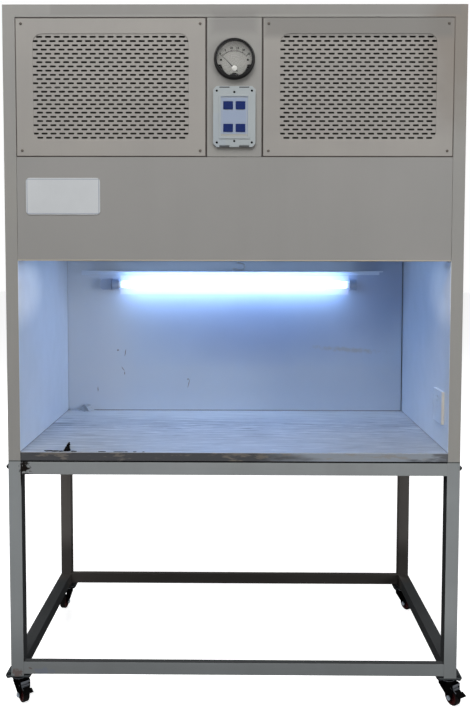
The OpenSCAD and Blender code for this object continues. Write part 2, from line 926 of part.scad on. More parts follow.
// The main filter: a boxed frame round a pleated pack, seated on the ring
module hepa_filter() {
    x = ring_half + hepa_seat;
    y0 = rail_front;
    y1 = rear_tube - fit_gap;
    pack_x = x - hepa_wall;
    pitch = 2 * pack_x / pleats;
    low = 14;
    high = 34;
    ridge = [for (i = [0 : 2 * pleats]) [-pack_x + i * pitch / 2, i % 2 == 0 ? low : high]];
    valley = [for (i = [2 * pleats : -1 : 0]) [-pack_x + i * pitch / 2, hepa_h - (i % 2 == 0 ? low : high)]];
    color(liner_white) translate([0, 0, ring_top]) {
        difference() {
            block(-x, x, y0, y1, 0, hepa_h);
            block(-pack_x, pack_x, y0 + hepa_wall, y1 - hepa_wall, -1, hepa_h + 1);
        }
        translate([0, y1 - hepa_wall, 0]) rotate([90, 0, 0])
            linear_extrude(y1 - y0 - 2 * hepa_wall) polygon(concat(ridge, valley));
    }
}

// The sheet that carries the blower and closes the plenum over the main filter
module blower_deck() {
    x = post_in - fit_gap;
    color(paint) difference() {
        block(-x, x, rail_front, back - skin - fit_gap, mid_rail - plate_t, mid_rail);
        translate([blower_x - scroll_w / 2 + scroll_t, outlet_y0 + scroll_t, mid_rail - plate_t - 1])
            cube([scroll_w - 2 * scroll_t, outlet_y1 - outlet_y0 - 2 * scroll_t, plate_t + 2]);
    }
}

// The scroll's outline in Y and Z round the blower's axis, inset by a wall
function scroll_points(inset) = concat(
    [for (a = [-50 : 10 : 180])
        let (r = scroll_r + scroll_grow * (a + 50) / 230 - inset) [r * cos(a), r * sin(a)]],
    [[-scroll_r - scroll_grow + inset, -blower_lift], [scroll_r * cos(50) - inset, -blower_lift]]
);

module blower_scroll() {
    inner_w = scroll_w - 2 * scroll_t;
    color(steel) translate([blower_x, 0, blower_z]) rotate([90, 0, 90]) translate([0, 0, -scroll_w / 2]) {
        difference() {
            linear_extrude(scroll_w) polygon(scroll_points(0));
            translate([0, 0, scroll_t]) linear_extrude(inner_w) polygon(scroll_points(scroll_t));
            translate([0, 0, -1]) cylinder(r = inlet_r, h = scroll_w + 2, $fn = 96);
            translate([-scroll_r - scroll_grow + scroll_t, -blower_lift - 1, scroll_t])
                cube([outlet_y1 - outlet_y0 - 2 * scroll_t, 30, inner_w]);
        }
    }
}

// The impeller: a centre disc, two end rings, its blades and the shaft
module blower_impeller() {
    ring_w = 18;
    disc_t = 3;
    end_t = 2;
    blade_t = 1.2;
    hub_r = shaft_r + 10;
    hub_w = 40;
    color(steel) translate([blower_x, 0, blower_z]) rotate([0, 90, 0]) {
        translate([0, 0, -disc_t / 2]) cylinder(r = impeller_r, h = disc_t, $fn = 96);
        for (z = [-impeller_w / 2, impeller_w / 2 - end_t]) translate([0, 0, z]) linear_extrude(end_t)
            difference() {
                circle(r = impeller_r, $fn = 96);
                circle(r = impeller_r - ring_w, $fn = 96);
            }
        for (i = [0 : blades - 1]) rotate(i * 360 / blades)
            translate([impeller_r - ring_w / 2, 0, 0]) rotate(35)
                cube([ring_w - 3, blade_t, impeller_w], center = true);
        translate([0, 0, -hub_w / 2]) cylinder(r = hub_r, h = hub_w, $fn = 48);
        translate([0, 0, -hub_w / 2 - 4]) cylinder(r = shaft_r, h = motor_x - blower_x + motor_len + hub_w / 2, $fn = 48);
    }
}

// The motor on its pedestal, bored for the blower's shaft
module blower_motor() {
    foot_w = 70;
    foot_d = 96;
    foot_plate = 5;
    z0 = mid_rail;
    mid = motor_x + motor_len / 2;
    color(dark) difference() {
        union() {
            rod_x(motor_x, 0, blower_z, motor_r, motor_len);
            rod_x(motor_x - 4, 0, blower_z, shaft_r + 12, motor_len + 8);
            block(mid - foot_w / 2, mid + foot_w / 2, -foot_d / 2, foot_d / 2, z0, z0 + foot_plate);
            block(mid - 18, mid + 18, -foot_d / 2 + 12, foot_d / 2 - 12, z0, blower_z - motor_r / 2);
        }
        rod_x(motor_x - 10, 0, blower_z, shaft_r + run_gap, motor_len + 20);
    }
}

// ---- Console ----

// Turns a shape drawn along +Z so that it faces the front, at the gauge's centre
module at_gauge() {
    translate([0, front, gauge_z]) rotate([90, 0, 0]) children();
}

module gauge_case() {
    floor_t = 3;
    seat_r = face_r - 3.5;
    seat = -dial_sink;
    groove_r = lens_r + 0.2;
    groove_z = gauge_proud - 6;
    color(dark) at_gauge() {
        rotate_extrude($fn = 128) polygon([
            [0, -gauge_depth], [gauge_body_r, -gauge_depth], [gauge_body_r, 0], [gauge_r, 0],
            [gauge_r, 3], [gauge_r - 4.5, gauge_proud], [face_r, gauge_proud],
            [face_r, groove_z + glass_t + 0.4], [groove_r, groove_z + glass_t + 0.4],
            [groove_r, groove_z], [face_r, groove_z], [face_r, seat], [seat_r, seat],
            [seat_r, floor_t - gauge_depth], [0, floor_t - gauge_depth]
        ]);
        translate([0, 0, seat]) linear_extrude(boss_h) intersection() {
            circle(r = face_r + 0.5, $fn = 96);
            translate([0, -boss_drop]) circle(r = boss_r, $fn = 64);
        }
    }
}

// The dial plate: wide above, rounded in below, with the staff for the pointer
module gauge_dial() {
    lower_r = 38;
    lower_drop = 10;
    waist = 15;
    dial_r = face_r - 0.3;
    color(liner_white) at_gauge() {
        translate([0, 0, -dial_sink]) linear_extrude(dial_t) difference() {
            intersection() {
                circle(r = dial_r, $fn = 96);
                union() {
                    translate([-dial_r, -waist]) square([2 * dial_r, dial_r + waist]);
                    translate([0, -lower_drop]) circle(r = lower_r, $fn = 96);
                }
            }
            translate([0, -boss_drop]) circle(r = boss_r + 0.4, $fn = 64);
        }
        translate([0, -pivot_drop, dial_t / 2 - dial_sink])
            cylinder(r = staff_r, h = pointer_lift + pointer_t + 1.2, $fn = 32);
    }
}

// The pointer, drawn at rest on the low end of the scale
module gauge_pointer() {
    hub_r = 7.5;
    tail = 12;
    color(dark) at_gauge() translate([0, -pivot_drop, dial_t - dial_sink + pointer_lift])
        rotate(pointer_rest) linear_extrude(pointer_t) difference() {
            union() {
                circle(r = hub_r, $fn = 64);
                polygon([[-1.6, -tail], [1.6, -tail], [0.4, pointer_len], [-0.4, pointer_len]]);
            }
            circle(r = staff_r + run_gap, $fn = 32);
        }
}

module gauge_lens() {
    color(liner_white, 0.3) at_gauge() translate([0, 0, gauge_proud - 5.8])
        cylinder(r = lens_r, h = glass_t, $fn = 128);
}

// A rectangle in X and Z with cut corners, centred on the keypad
module cut_rect(w, h, c) {
    translate([0, keypad_z]) polygon([
        [-w / 2 + c, -h / 2], [w / 2 - c, -h / 2], [w / 2, -h / 2 + c], [w / 2, h / 2 - c],
        [w / 2 - c, h / 2], [-w / 2 + c, h / 2], [-w / 2, h / 2 - c], [-w / 2, -h / 2 + c]
    ]);
}

// Places a child at one key; sx and sz are -1 or 1
module at_key(sx, sz) {
    translate([sx * key_pitch_x / 2, 0, keypad_z + sz * key_pitch_z / 2]) children();
}

module keypad_plate() {
    cut = 10;
    face = front - keypad_proud;
    rim_w = 6;
    rim_t = 1.5;
    notch_w = 30;
    notch_x = 28;
    notch_in = 4;
    color([0.69, 0.71, 0.71]) difference() {
        union() {
            front_plate(front, keypad_proud) cut_rect(keypad_w, keypad_h, cut);
            front_plate(face + 1, 1 + rim_t) cut_rect(label_w + 2 * rim_w, label_h + 2 * rim_w, 2);
        }
        front_plate(front + 1, keypad_proud - keypad_wall + 1)
            cut_rect(keypad_w - 2 * keypad_wall, keypad_h - 2 * keypad_wall, cut);
        front_plate(face, rim_t + 1) cut_rect(label_w, label_h, 1);
        for (sx = [-1, 1], sz = [-1, 1]) at_key(sx, sz) front_plate(front, 2 * keypad_proud)
            square([key_w + 2 * key_gap, key_h + 2 * key_gap], center = true);
        for (sx = [-1, 1], sz = [-1, 1])
            translate([sx * notch_x, 0, keypad_z + sz * (keypad_h / 2 - notch_in)])
                front_plate(face + 1.2, 2) square([notch_w, 2.5], center = true);
        at_keypad_screws() {
            rod_y(0, front, 0, keypad_screw_r + 0.2, 2 * keypad_proud);
            rod_y(0, face + keypad_sink, 0, keypad_head_r + 0.3, keypad_sink + 1);
        }
    }
}

// A key with a flange behind the keypad's wall
module key(sx, sz) {
    proud = 1.2;
    flange = 1.5;
    wall_back = front - keypad_proud + keypad_wall;
    color([0.18, 0.24, 0.47]) at_key(sx, sz) {
        front_plate(wall_back + key_gap + 0.5, keypad_wall + key_gap + proud + 0.5)
            round_rect(0, 0, key_w, key_h, 3);
        front_plate(wall_back + key_gap + 1, 1) square([key_w + 2 * flange, key_h + 2 * flange], center = true);
    }
}

module upper_left_key() {
    key(-1, 1);
}

module upper_right_key() {
    key(1, 1);
}

module lower_left_key() {
    key(-1, -1);
}

module lower_right_key() {
    key(1, -1);
}

// The bare plate on the header
module nameplate() {
    plate_thick = 1.5;
    x = -post_in + plate_left + plate_w / 2;
    z = panel_seam - plate_top - plate_h / 2;
    color(liner_white) front_plate(front, plate_thick) round_rect(x, z, plate_w, plate_h, 11);
}

// ---- Lamp, socket and inlet ----

// The lamp: a glass tube with an end cap and two pins at each end
module fluorescent_tube() {
    pin_half = 6.35;
    color("white") translate([lamp_x, lamp_y, lamp_z]) {
        rod_x(-lamp_len / 2, 0, 0, lamp_r, lamp_len);
        both_sides() for (s = [-1, 1]) rod_x(lamp_len / 2 - 1, 0, s * pin_half, 1.2, pin_len + 1);
    }
}

// Two lamp holders on the rear liner, and the starter beside the left one
module lamp_fittings() {
    cup_lap = 17;
    base_t = 7;
    holder_r = lamp_r + 6;
    x0 = lamp_len / 2 - cup_lap;
    w = cup_lap + base_t;
    starter_w = 42;
    starter_cut = 9;
    starter_x = -lamp_len / 2 - base_t - starter_w / 2 - 6;
    color([0.7, 0.74, 0.78]) translate([lamp_x, lamp_y, lamp_z]) {
        both_sides() difference() {
            union() {
                rod_x(x0, 0, 0, holder_r, w);
                block(x0, x0 + w, 0, lamp_stand, -holder_r, holder_r);
            }
            rod_x(x0 - 1, 0, 0, lamp_r + fit_gap, cup_lap + 1 + fit_gap);
            for (s = [-1, 1]) rod_x(x0, 0, s * 6.35, 1.2 + fit_gap, w - 0.6);
        }
        translate([starter_x, lamp_stand, 0]) rotate([90, 0, 0]) linear_extrude(40) polygon([
            [-starter_w / 2 + starter_cut, -20], [starter_w / 2, -20], [starter_w / 2, 20],
            [-starter_w / 2 + starter_cut, 20], [-starter_w / 2, 20 - starter_cut],
            [-starter_w / 2, starter_cut - 20]
        ]);
    }
}

// The shade: a folded sheet on the rear liner above the lamp, with a tab at its left end
module lamp_shade() {
    t = 1.2;
    lip = 3;
    flange = 14;
    tab_w = 31;
    tab_h = 18;
    x0 = shade_x - shade_w / 2;
    x1 = shade_x + shade_w / 2;
    y0 = rear_face - shade_depth;
    color(liner_white) {
        block(x0, x1, y0, rear_face, shade_z, shade_z + t);
        block(x0, x1, y0, y0 + t, shade_z - lip, shade_z + t);
        block(x0, x1, rear_face - t, rear_face, shade_z - flange, shade_z + t);
        block(x0 - tab_w, x0 + 1, rear_face - t, rear_face, shade_z + t - tab_h, shade_z + t);
    }
}

// Catmull-Rom point between b and c
function spline(a, b, c, d, t) =
    0.5 * (2 * b + (c - a) * t + (2 * a - 5 * b + 4 * c - d) * t * t + (3 * b - a - 3 * c + d) * t * t * t);

// All points of a route, with steps points between its given ones
function route(p, steps) = concat([for (i = [0 : len(p) - 2], k = [0 : steps - 1])
    spline(p[max(i - 1, 0)], p[i], p[i + 1], p[min(i + 2, len(p) - 1)], k / steps)], [p[len(p) - 1]]);

// A round cord along a route in X and Z
module cord(points, y, d, sides) {
    n = len(points);
    rings = [for (i = [0 : n - 1])
        let (t = points[min(i + 1, n - 1)] - points[max(i - 1, 0)], u = t / norm(t))
        for (k = [0 : sides - 1])
            let (a = k * 360 / sides)
            [points[i][0] - u[1] * cos(a) * d / 2, y + sin(a) * d / 2, points[i][1] + u[0] * cos(a) * d / 2]];
    walls = [for (i = [0 : n - 2], k = [0 : sides - 1])
        let (m = (k + 1) % sides)
        [i * sides + k, i * sides + m, (i + 1) * sides + m, (i + 1) * sides + k]];
    first = [for (k = [sides - 1 : -1 : 0]) k];
    last = [for (k = [0 : sides - 1]) (n - 1) * sides + k];
    polyhedron(points = rings, faces = concat([first], walls, [last]));
}

// The lamp's lead: it rises from the shade, dips, and loops up to the ceiling
module lamp_lead() {
    base = shade_z + 1.4;
    rise = opening_top - base - 0.6;
    path = [
        [-8, base], [-8, base + 6], [-3, base + 9], [7, base + 5], [17, base + 2], [28, base + 4],
        [36, base + 10], [37, base + 18], [30, base + 25], [18, base + 28], [10, base + 30], [8, base + rise]
    ];
    color("white") cord(route(path, 5), rear_face - 12, lead_d, 8);
}

// The socket's cover on the right liner, with its three holes and its middle screw
module power_socket() {
    x = room_half;
    y = front + socket_in + socket_w / 2;
    z = table_top + socket_lift;
    color(liner_white) translate([x - socket_t, y, z]) difference() {
        union() {
            translate([0, -socket_w / 2, -socket_h / 2]) cube([socket_t, socket_w, socket_h]);
            rod_x(-1, 0, 0, 3.5, 2);
        }
        rod_x(-1, 0, 28, 4.3, socket_t - 1);
        for (s = [-1, 1]) rod_x(-1, s * 13, 14, 2.8, socket_t - 1);
    }
}

// The mains inlet's gland through the rear panel; its cord is not part of the model
module cable_gland() {
    nut_r = gland_r + 5;
    nut_t = 5;
    thread_in = 12;
    dome = 15;
    color(dark) translate([gland_x, 0, gland_z]) {
        difference() {
            union() {
                rod_y(0, back + nut_t, 0, gland_r, nut_t + skin + thread_in);
                translate([0, back + nut_t, 0]) rotate([90, 0, 0]) cylinder(r = nut_r, h = nut_t, $fn = 6);
                rod_y(0, back + nut_t + dome, 0, gland_r - 1, dome + 1);
                translate([0, back - skin, 0]) rotate([90, 0, 0]) cylinder(r = nut_r, h = nut_t, $fn = 6);
            }
            rod_y(0, back + nut_t + dome + 1, 0, lead_hole_r, nut_t + dome + skin + thread_in + 2);
        }
    }
}

left_end_frame();
right_end_frame();
upper_front_rail();
upper_rear_rail();
lower_front_rail();
lower_rear_rail();
stand_bolts();
caster_plates();
front_left_fork();
front_right_fork();
rear_left_fork();
rear_right_fork();
front_left_wheel();
front_right_wheel();
rear_left_wheel();
rear_right_wheel();
front_left_axle();
front_right_axle();
rear_left_axle();
rear_right_axle();
left_brake_pedal();
right_brake_pedal();
cabinet_frame();
left_side_panel();
right_side_panel();
rear_panel();
top_cover();
header_panel();
console_panel();
left_grille();
right_grille();
panel_screws();
prefilter_frame();
pre_filters();
left_liner();
right_liner();
rear_liner();
work_surface();
diffuser_screen();
hepa_filter();
blower_deck();
blower_scroll();
blower_impeller();
blower_motor();
gauge_case();
gauge_dial();
gauge_pointer();
gauge_lens();
keypad_plate();
upper_left_key();
upper_right_key();
lower_left_key();
lower_right_key();
nameplate();
fluorescent_tube();
lamp_fittings();
lamp_shade();
lamp_lead();
power_socket();
cable_gland();
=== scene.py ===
# %% [markdown]
# # An upright clean bench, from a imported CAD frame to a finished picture
# The bench blows filtered air down into a lit chamber. Its solids come from a CAD model in metres,
# with X to the operator's right, Y from the open front to the back and Z up. This lesson gives each
# solid its finish, replaces the parts that need finer shapes, and sets up the light and the camera.

# %% Load the CAD frame
import json
import math

import bmesh
import bpy
import numpy as np
from mathutils import Matrix, Vector


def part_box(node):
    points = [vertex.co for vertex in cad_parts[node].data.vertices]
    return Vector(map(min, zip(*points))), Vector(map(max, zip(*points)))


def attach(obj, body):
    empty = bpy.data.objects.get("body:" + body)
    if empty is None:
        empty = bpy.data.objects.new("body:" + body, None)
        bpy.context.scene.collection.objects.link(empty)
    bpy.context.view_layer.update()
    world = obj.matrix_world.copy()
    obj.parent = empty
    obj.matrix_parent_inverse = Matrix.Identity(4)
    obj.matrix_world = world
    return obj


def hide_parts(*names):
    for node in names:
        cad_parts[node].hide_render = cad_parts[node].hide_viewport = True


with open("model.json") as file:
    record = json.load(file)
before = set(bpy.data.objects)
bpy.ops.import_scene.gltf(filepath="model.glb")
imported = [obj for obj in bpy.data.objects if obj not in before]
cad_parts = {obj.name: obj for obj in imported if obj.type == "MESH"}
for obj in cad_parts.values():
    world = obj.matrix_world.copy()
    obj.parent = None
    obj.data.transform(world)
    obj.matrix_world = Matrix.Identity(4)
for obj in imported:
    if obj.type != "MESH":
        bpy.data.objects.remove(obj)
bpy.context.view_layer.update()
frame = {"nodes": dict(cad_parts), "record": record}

nodes = frame["nodes"]
body_of = {n: b for b, members in frame["record"]["behaviour"]["bodies"].items() for n in members}
slot_of = {s["node"]: s["material_slot"] for s in frame["record"]["subparts"]}

# %% [markdown]
# ## Small helpers
# Colours are easier to judge on the 0 to 255 scale of a colour picker, so one helper turns them into
# the linear values that a shader needs. Lengths are written in millimetres, as on a drawing, and
# multiplied by MM. Heights on the cabinet count from the top of the stand, BENCH, and low ones from
# the top of the caster plates, FOOT. The panels' front is at FRONT on the Y axis, the chamber's rear
# sheet at REAR_WALL and the rear panel at BACK.

# %% Colour and length helpers
MM = 0.001
FRONT, REAR_WALL, BACK = -330, 280, 330
BENCH = round(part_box("left_end_frame")[1][2] / MM, 1)
TABLE = BENCH + 26
FOOT = round(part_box("caster_plates")[1][2] / MM, 1)


def metres(*lengths):
    """Lengths in millimetres as a tuple in metres."""
    return tuple(v * MM for v in lengths)


def tone(r, g, b):
    """A colour from 0 to 255 as linear RGBA."""
    def linear(v):
        """One channel, by the sRGB curve."""
        v /= 255
        return v / 12.92 if v <= 0.04045 else ((v + 0.055) / 1.055) ** 2.4
    return (linear(r), linear(g), linear(b), 1.0)


def add_object(name, data):
    """An object with its data, linked into the scene."""
    made = bpy.data.objects.new(name, data)
    bpy.context.scene.collection.objects.link(made)
    return made


print("mid grey in linear light", round(tone(128, 128, 128)[0], 3))

# %% [markdown]
# ## Helpers for node trees
# Finishes, the room and the repeated parts are all built from nodes. One helper makes a node with its
# settings and inputs, where an input is either a plain value or the output of another node. The rest
# are short names for the nodes that are used most.

# %% Node helpers


def feed(tree, socket, value):
    """Sets an input to a plain value, or links it to another node's output."""
    if isinstance(value, bpy.types.NodeSocket):
        tree.links.new(value, socket)
    else:
        socket.default_value = value


def node(tree, kind, inputs=None, **settings):
    """A node; inputs maps the names or numbers of its inputs to values or outputs."""
    made = tree.nodes.new(kind)
    for key, value in settings.items():
        setattr(made, key, value)
    for key, value in (inputs or {}).items():
        feed(tree, made.inputs[key], value)
    return made


def maths(tree, operation, *terms):
    """A Math node's result; each term is a number or an output."""
    return node(tree, "ShaderNodeMath", dict(enumerate(terms)), operation=operation).outputs[0]


def vector_maths(tree, operation, *terms):
    """A Vector Math node's vector; each term is a tuple or an output."""
    return node(tree, "ShaderNodeVectorMath", dict(enumerate(terms)), operation=operation).outputs[0]


def vector(tree, **axes):
    """A vector from its X, Y and Z; an axis that isn't named is 0."""
    return node(tree, "ShaderNodeCombineXYZ", axes).outputs[0]


def axes_of(tree, value):
    """The X, Y and Z of a vector."""
    return node(tree, "ShaderNodeSeparateXYZ", {0: value}).outputs


def object_place(tree):
    """The place on the piece, in the object's own coordinates."""
    return node(tree, "ShaderNodeTexCoord").outputs["Object"]


def noise(tree, place, scale, detail=3.0, rough=0.55):
    """A noise texture's value over a vector."""
    return node(tree, "ShaderNodeTexNoise", {"Vector": place, "Scale": scale, "Detail": detail,
                                             "Roughness": rough}).outputs["Fac"]


def ramp(tree, value, low, high, to_low=0.0, to_high=1.0):
    """Smoothly maps value from low..high to to_low..to_high."""
    return node(tree, "ShaderNodeMapRange", {"Value": value, "From Min": low, "From Max": high,
                                             "To Min": to_low, "To Max": to_high},
                interpolation_type="SMOOTHSTEP").outputs["Result"]


def inverse(tree, mask):
    """1 where the mask is 0, and 0 where it is 1."""
    return maths(tree, "SUBTRACT", 1.0, mask)


print("node helpers ready")

# %% [markdown]
# ## The camera
# The camera stands a little over two metres in front of the bench at chest height, and is tilted down
# by a few degrees. It is built from its three axes, so that the small tilt, yaw and roll stay exact.
# The vertical shift lowers the frame without more tilt. Angles are in radians.

# %% Camera
TILT, ROLL, YAW = 0.0503, 0.0018, 0.0079
EYE = Vector(metres(13.5, -2444.9, BENCH + 593.7))
FOCAL_LENGTH, SENSOR = 36.51, 36
SHIFT_X, SHIFT_Y = 0.0030, -0.0778
skyward = Vector((0, 0, 1))
level_ahead = Vector((-math.sin(YAW), math.cos(YAW), 0))
level_right = Vector((math.cos(YAW), math.sin(YAW), 0))
tilted_up = math.sin(TILT) * level_ahead + math.cos(TILT) * skyward
ahead = math.cos(TILT) * level_ahead - math.sin(TILT) * skyward
right = math.cos(ROLL) * level_right + math.sin(ROLL) * tilted_up
up = -math.sin(ROLL) * level_right + math.cos(ROLL) * tilted_up
lens = bpy.data.cameras.new("view")
lens.sensor_fit = "AUTO"
lens.sensor_width = SENSOR
lens.lens = FOCAL_LENGTH
lens.shift_x, lens.shift_y = SHIFT_X, SHIFT_Y
camera = add_object("view", lens)
turn = Matrix((right, up, -ahead)).transposed().to_4x4()
camera.matrix_world = Matrix.Translation(EYE) @ turn
bpy.context.scene.camera = camera
print("camera at", tuple(round(v, 3) for v in EYE))

# %% [markdown]
# ## Room light
# The bench stands in a plain bright room. Soft lamps high in front give the even light on the panels
# and leave the rear of the stand in the shade of the cabinet. A lower one fills from the right. A thin
# strip behind the header stands for the light that the white ceiling sheet sends back to the rear wall.

# %% Soft lamps
WHITE = (1.0, 1.0, 1.0)


def soft_lamp(name, place, target, size, power, colour=WHITE):
    """A rectangular area lamp at place that points at target; lengths in metres."""
    data = bpy.data.lights.new(name, "AREA")
    data.shape = "RECTANGLE"
    data.size, data.size_y = size
    data.energy = power
    data.color = colour
    away = Vector(place) - Vector(target)
    turn = away.to_track_quat("Z", "Y").to_matrix().to_4x4()
    add_object(name, data).matrix_world = Matrix.Translation(place) @ turn


soft_lamp("left_lamp", (-2.6, -4.6, 5.6), (0, 0, 1.1), (3.0, 2.5), 135)
soft_lamp("high_lamp", (0, -2.6, 5.8), (0, 0, 1.0), (4.0, 2.0), 180)
soft_lamp("window_light", (4.2, -3.4, 1.5), (-0.3, 0, 1.1), (2.0, 1.6), 76)
soft_lamp("back_light", (-2.0, 4.6, 4.0), (0, 0, 1.0), (3.0, 2.0), 115)
soft_lamp("ceiling_bounce", metres(0, -295, TABLE + 556), metres(0, REAR_WALL, TABLE + 500),
          (1.10, 0.02), 0.8, colour=(0.40, 0.62, 1.0))

# %% [markdown]
# ## The room and the floor
# The world adds a little light from all sides, and what the camera and shiny metal see of it is white.
# A plain pale floor carries the soft shadow of the bench. Its colour is what the camera sees; for the
# light that bounces back under the bench it is darker, as a worn floor is. Both choose between their
# two looks by the kind of ray that arrives.

# %% A look that depends on the ray


def by_ray(tree, for_light, for_eye, output):
    """Shows for_eye to the camera, in mirrors and through glass, and for_light to all other rays."""
    path = node(tree, "ShaderNodeLightPath").outputs
    direct = maths(tree, "MAXIMUM", path["Is Camera Ray"], path["Is Glossy Ray"])
    eye = maths(tree, "MAXIMUM", direct, path["Is Transmission Ray"])
    choose = node(tree, "ShaderNodeMixShader", {0: eye, 1: for_light.outputs[0], 2: for_eye.outputs[0]})
    node(tree, output, {"Surface": choose.outputs[0]})


print("ray helper ready")

# %% World
world = bpy.data.worlds.new("room")
bpy.context.scene.world = world
world.use_nodes = True
tree = world.node_tree
tree.nodes.clear()
dim = node(tree, "ShaderNodeBackground", {"Color": (0.95, 0.97, 1.0, 1), "Strength": 0.15})
white = node(tree, "ShaderNodeBackground", {"Color": (*WHITE, 1), "Strength": 1.0})
by_ray(tree, dim, white, "ShaderNodeOutputWorld")
bpy.context.scene.view_settings.view_transform = "Standard"
print("world", world.name)

# %% Floor
FLOOR_SIDE = 60
bpy.ops.mesh.primitive_plane_add(size=FLOOR_SIDE)
floor = bpy.context.object
floor.name = "floor"
floor_look = bpy.data.materials.new("pale_floor")
floor_look.use_nodes = True
tree = floor_look.node_tree
tree.nodes.clear()
matt = node(tree, "ShaderNodeBsdfDiffuse", {"Color": (0.80, 0.80, 0.80, 1)})
glow = node(tree, "ShaderNodeEmission", {"Strength": 0.8})
pale = node(tree, "ShaderNodeAddShader", {0: matt.outputs[0], 1: glow.outputs[0]})
dark = node(tree, "ShaderNodeBsdfDiffuse", {"Color": (0.12, 0.12, 0.125, 1)})
by_ray(tree, dark, pale, "ShaderNodeOutputMaterial")
floor.data.materials.append(floor_look)
print("floor side", FLOOR_SIDE, "m")

# %% [markdown]
# ## Shader groups
# Several finishes share the same effects, so each effect is a node group that is built once.
# *Mottle* gives the slow change of tone, the fine specks and the vertical dust streaks of old paint.
# *Mark* is a ragged patch round a point: a scorch, a smudge or a scratch. *Region* is a box with soft
# edges, for a printed border or a cleaner strip. *Brushing* draws the long scratches of rolled steel.
# *Wear* finds where hands and cloths have rubbed the rounded edges: it reads the attribute *edge* of a
# softened piece and breaks it up with the mottle, more sharply for paint than for bare metal.

# %% A helper that builds a group
FLOAT, VECTOR = "NodeSocketFloat", "NodeSocketVector"


def new_group(kind, name, inputs, outputs):
    """A node group with its sockets; returns the tree and what goes into and out of it."""
    group = bpy.data.node_groups.new(name, kind)
    for label, sort, value in inputs:
        socket = group.interface.new_socket(label, in_out="INPUT", socket_type=sort)
        if value is not None:
            socket.default_value = value
    for label, sort in outputs:
        group.interface.new_socket(label, in_out="OUTPUT", socket_type=sort)
    start = node(group, "NodeGroupInput").outputs
    end = node(group, "NodeGroupOutput").inputs
    return group, start, end


print("group helper ready")

# %% Group: Mottle
mottle, start, end = new_group("ShaderNodeTree", "Mottle", [
    ("Scale", FLOAT, 3.0), ("Speck Size", FLOAT, 900.0), ("Streak Length", FLOAT, 1.0),
], [("Mottle", FLOAT), ("Specks", FLOAT), ("Streaks", FLOAT), ("Peel", FLOAT)])
place = object_place(mottle)
slow = noise(mottle, place, start["Scale"], 4.0, 0.6)
feed(mottle, end["Mottle"], ramp(mottle, slow, 0.3, 0.7))
fine = noise(mottle, place, start["Speck Size"], 1.0, 0.5)
feed(mottle, end["Specks"], ramp(mottle, fine, 0.68, 0.76))
tall = vector_maths(mottle, "MULTIPLY", place, (7.0, 7.0, 0.45))
runs = noise(mottle, tall, start["Streak Length"], 4.0, 0.6)
feed(mottle, end["Streaks"], ramp(mottle, runs, 0.35, 0.8))
feed(mottle, end["Peel"], noise(mottle, place, 420.0, 2.0, 0.5))
print("group", mottle.name)

# %% Group: Mark
mark, start, end = new_group("ShaderNodeTree", "Mark", [
    ("Centre", VECTOR, (0, 0, 0)), ("Size", VECTOR, (0.01, 0.01, 0.01)),
    ("Turn", FLOAT, 0.0), ("Ragged", FLOAT, 0.5), ("Detail Size", FLOAT, 200.0), ("Softness", FLOAT, 0.3),
], [("Mask", FLOAT)])
place = object_place(mark)
offset = vector_maths(mark, "SUBTRACT", place, start["Centre"])
turned = node(mark, "ShaderNodeVectorRotate", {"Vector": offset, "Angle": start["Turn"]},
              rotation_type="Y_AXIS")
shrunk = vector_maths(mark, "DIVIDE", turned.outputs[0], start["Size"])
reach = node(mark, "ShaderNodeVectorMath", {0: shrunk}, operation="LENGTH").outputs["Value"]
grain = noise(mark, place, start["Detail Size"], 3.0, 0.6)
wobble = maths(mark, "MULTIPLY", maths(mark, "SUBTRACT", grain, 0.5), start["Ragged"])
ragged = maths(mark, "MULTIPLY_ADD", wobble, 4.0, reach)
low = maths(mark, "SUBTRACT", 1.0, start["Softness"])
high = maths(mark, "ADD", 1.0, start["Softness"])
feed(mark, end["Mask"], ramp(mark, ragged, low, high, 1.0, 0.0))
print("group", mark.name)

# %% Group: Region
region, start, end = new_group("ShaderNodeTree", "Region", [
    ("Centre", VECTOR, (0, 0, 0)), ("Half Size", VECTOR, (1, 1, 1)), ("Soft Edge", FLOAT, 0.0005),
], [("Mask", FLOAT)])
offset = vector_maths(region, "SUBTRACT", object_place(region), start["Centre"])
distance = vector_maths(region, "ABSOLUTE", offset)
within = axes_of(region, vector_maths(region, "SUBTRACT", start["Half Size"], distance))
least = maths(region, "MINIMUM", maths(region, "MINIMUM", within[0], within[1]), within[2])
feed(region, end["Mask"], ramp(region, least, 0.0, start["Soft Edge"]))
print("group", region.name)

# %% Group: Brushing
brushing, start, end = new_group("ShaderNodeTree", "Brushing", [
    ("Stretch", VECTOR, (2.0, 300.0, 300.0)),
], [("Grain", FLOAT), ("Bands", FLOAT)])
BAND_SCALE = 0.17
pulled = vector_maths(brushing, "MULTIPLY", object_place(brushing), start["Stretch"])
feed(brushing, end["Grain"], noise(brushing, pulled, 1.0, 3.0, 0.6))
slower = vector_maths(brushing, "MULTIPLY", pulled, (BAND_SCALE, BAND_SCALE, BAND_SCALE))
broad = noise(brushing, slower, 1.0, 2.0, 0.5)
feed(brushing, end["Bands"], ramp(brushing, broad, 0.35, 0.68))
print("group", brushing.name)

# %% Group: Wear
wear, start, end = new_group("ShaderNodeTree", "Wear", [
    ("Mottle", FLOAT, 0.5),
], [("Rubbed", FLOAT), ("Chipped", FLOAT)])
edge = node(wear, "ShaderNodeAttribute", attribute_name="edge").outputs["Fac"]
feed(wear, end["Rubbed"], maths(wear, "MULTIPLY", edge, start["Mottle"]))
feed(wear, end["Chipped"], maths(wear, "MULTIPLY", edge, ramp(wear, start["Mottle"], 0.2, 0.8)))
print("group", wear.name)

# %% [markdown]
# ## Building a finish
# A finish starts from one base colour. Dirt, dust, wear and print are then laid over it, each with its
# own mask, as on the real thing. Each layer is mixed with what the shader's socket had before and takes
# its place there. A value that is the same all over is set on the shader's own socket.

# %% The Finish helper
finishes = {}


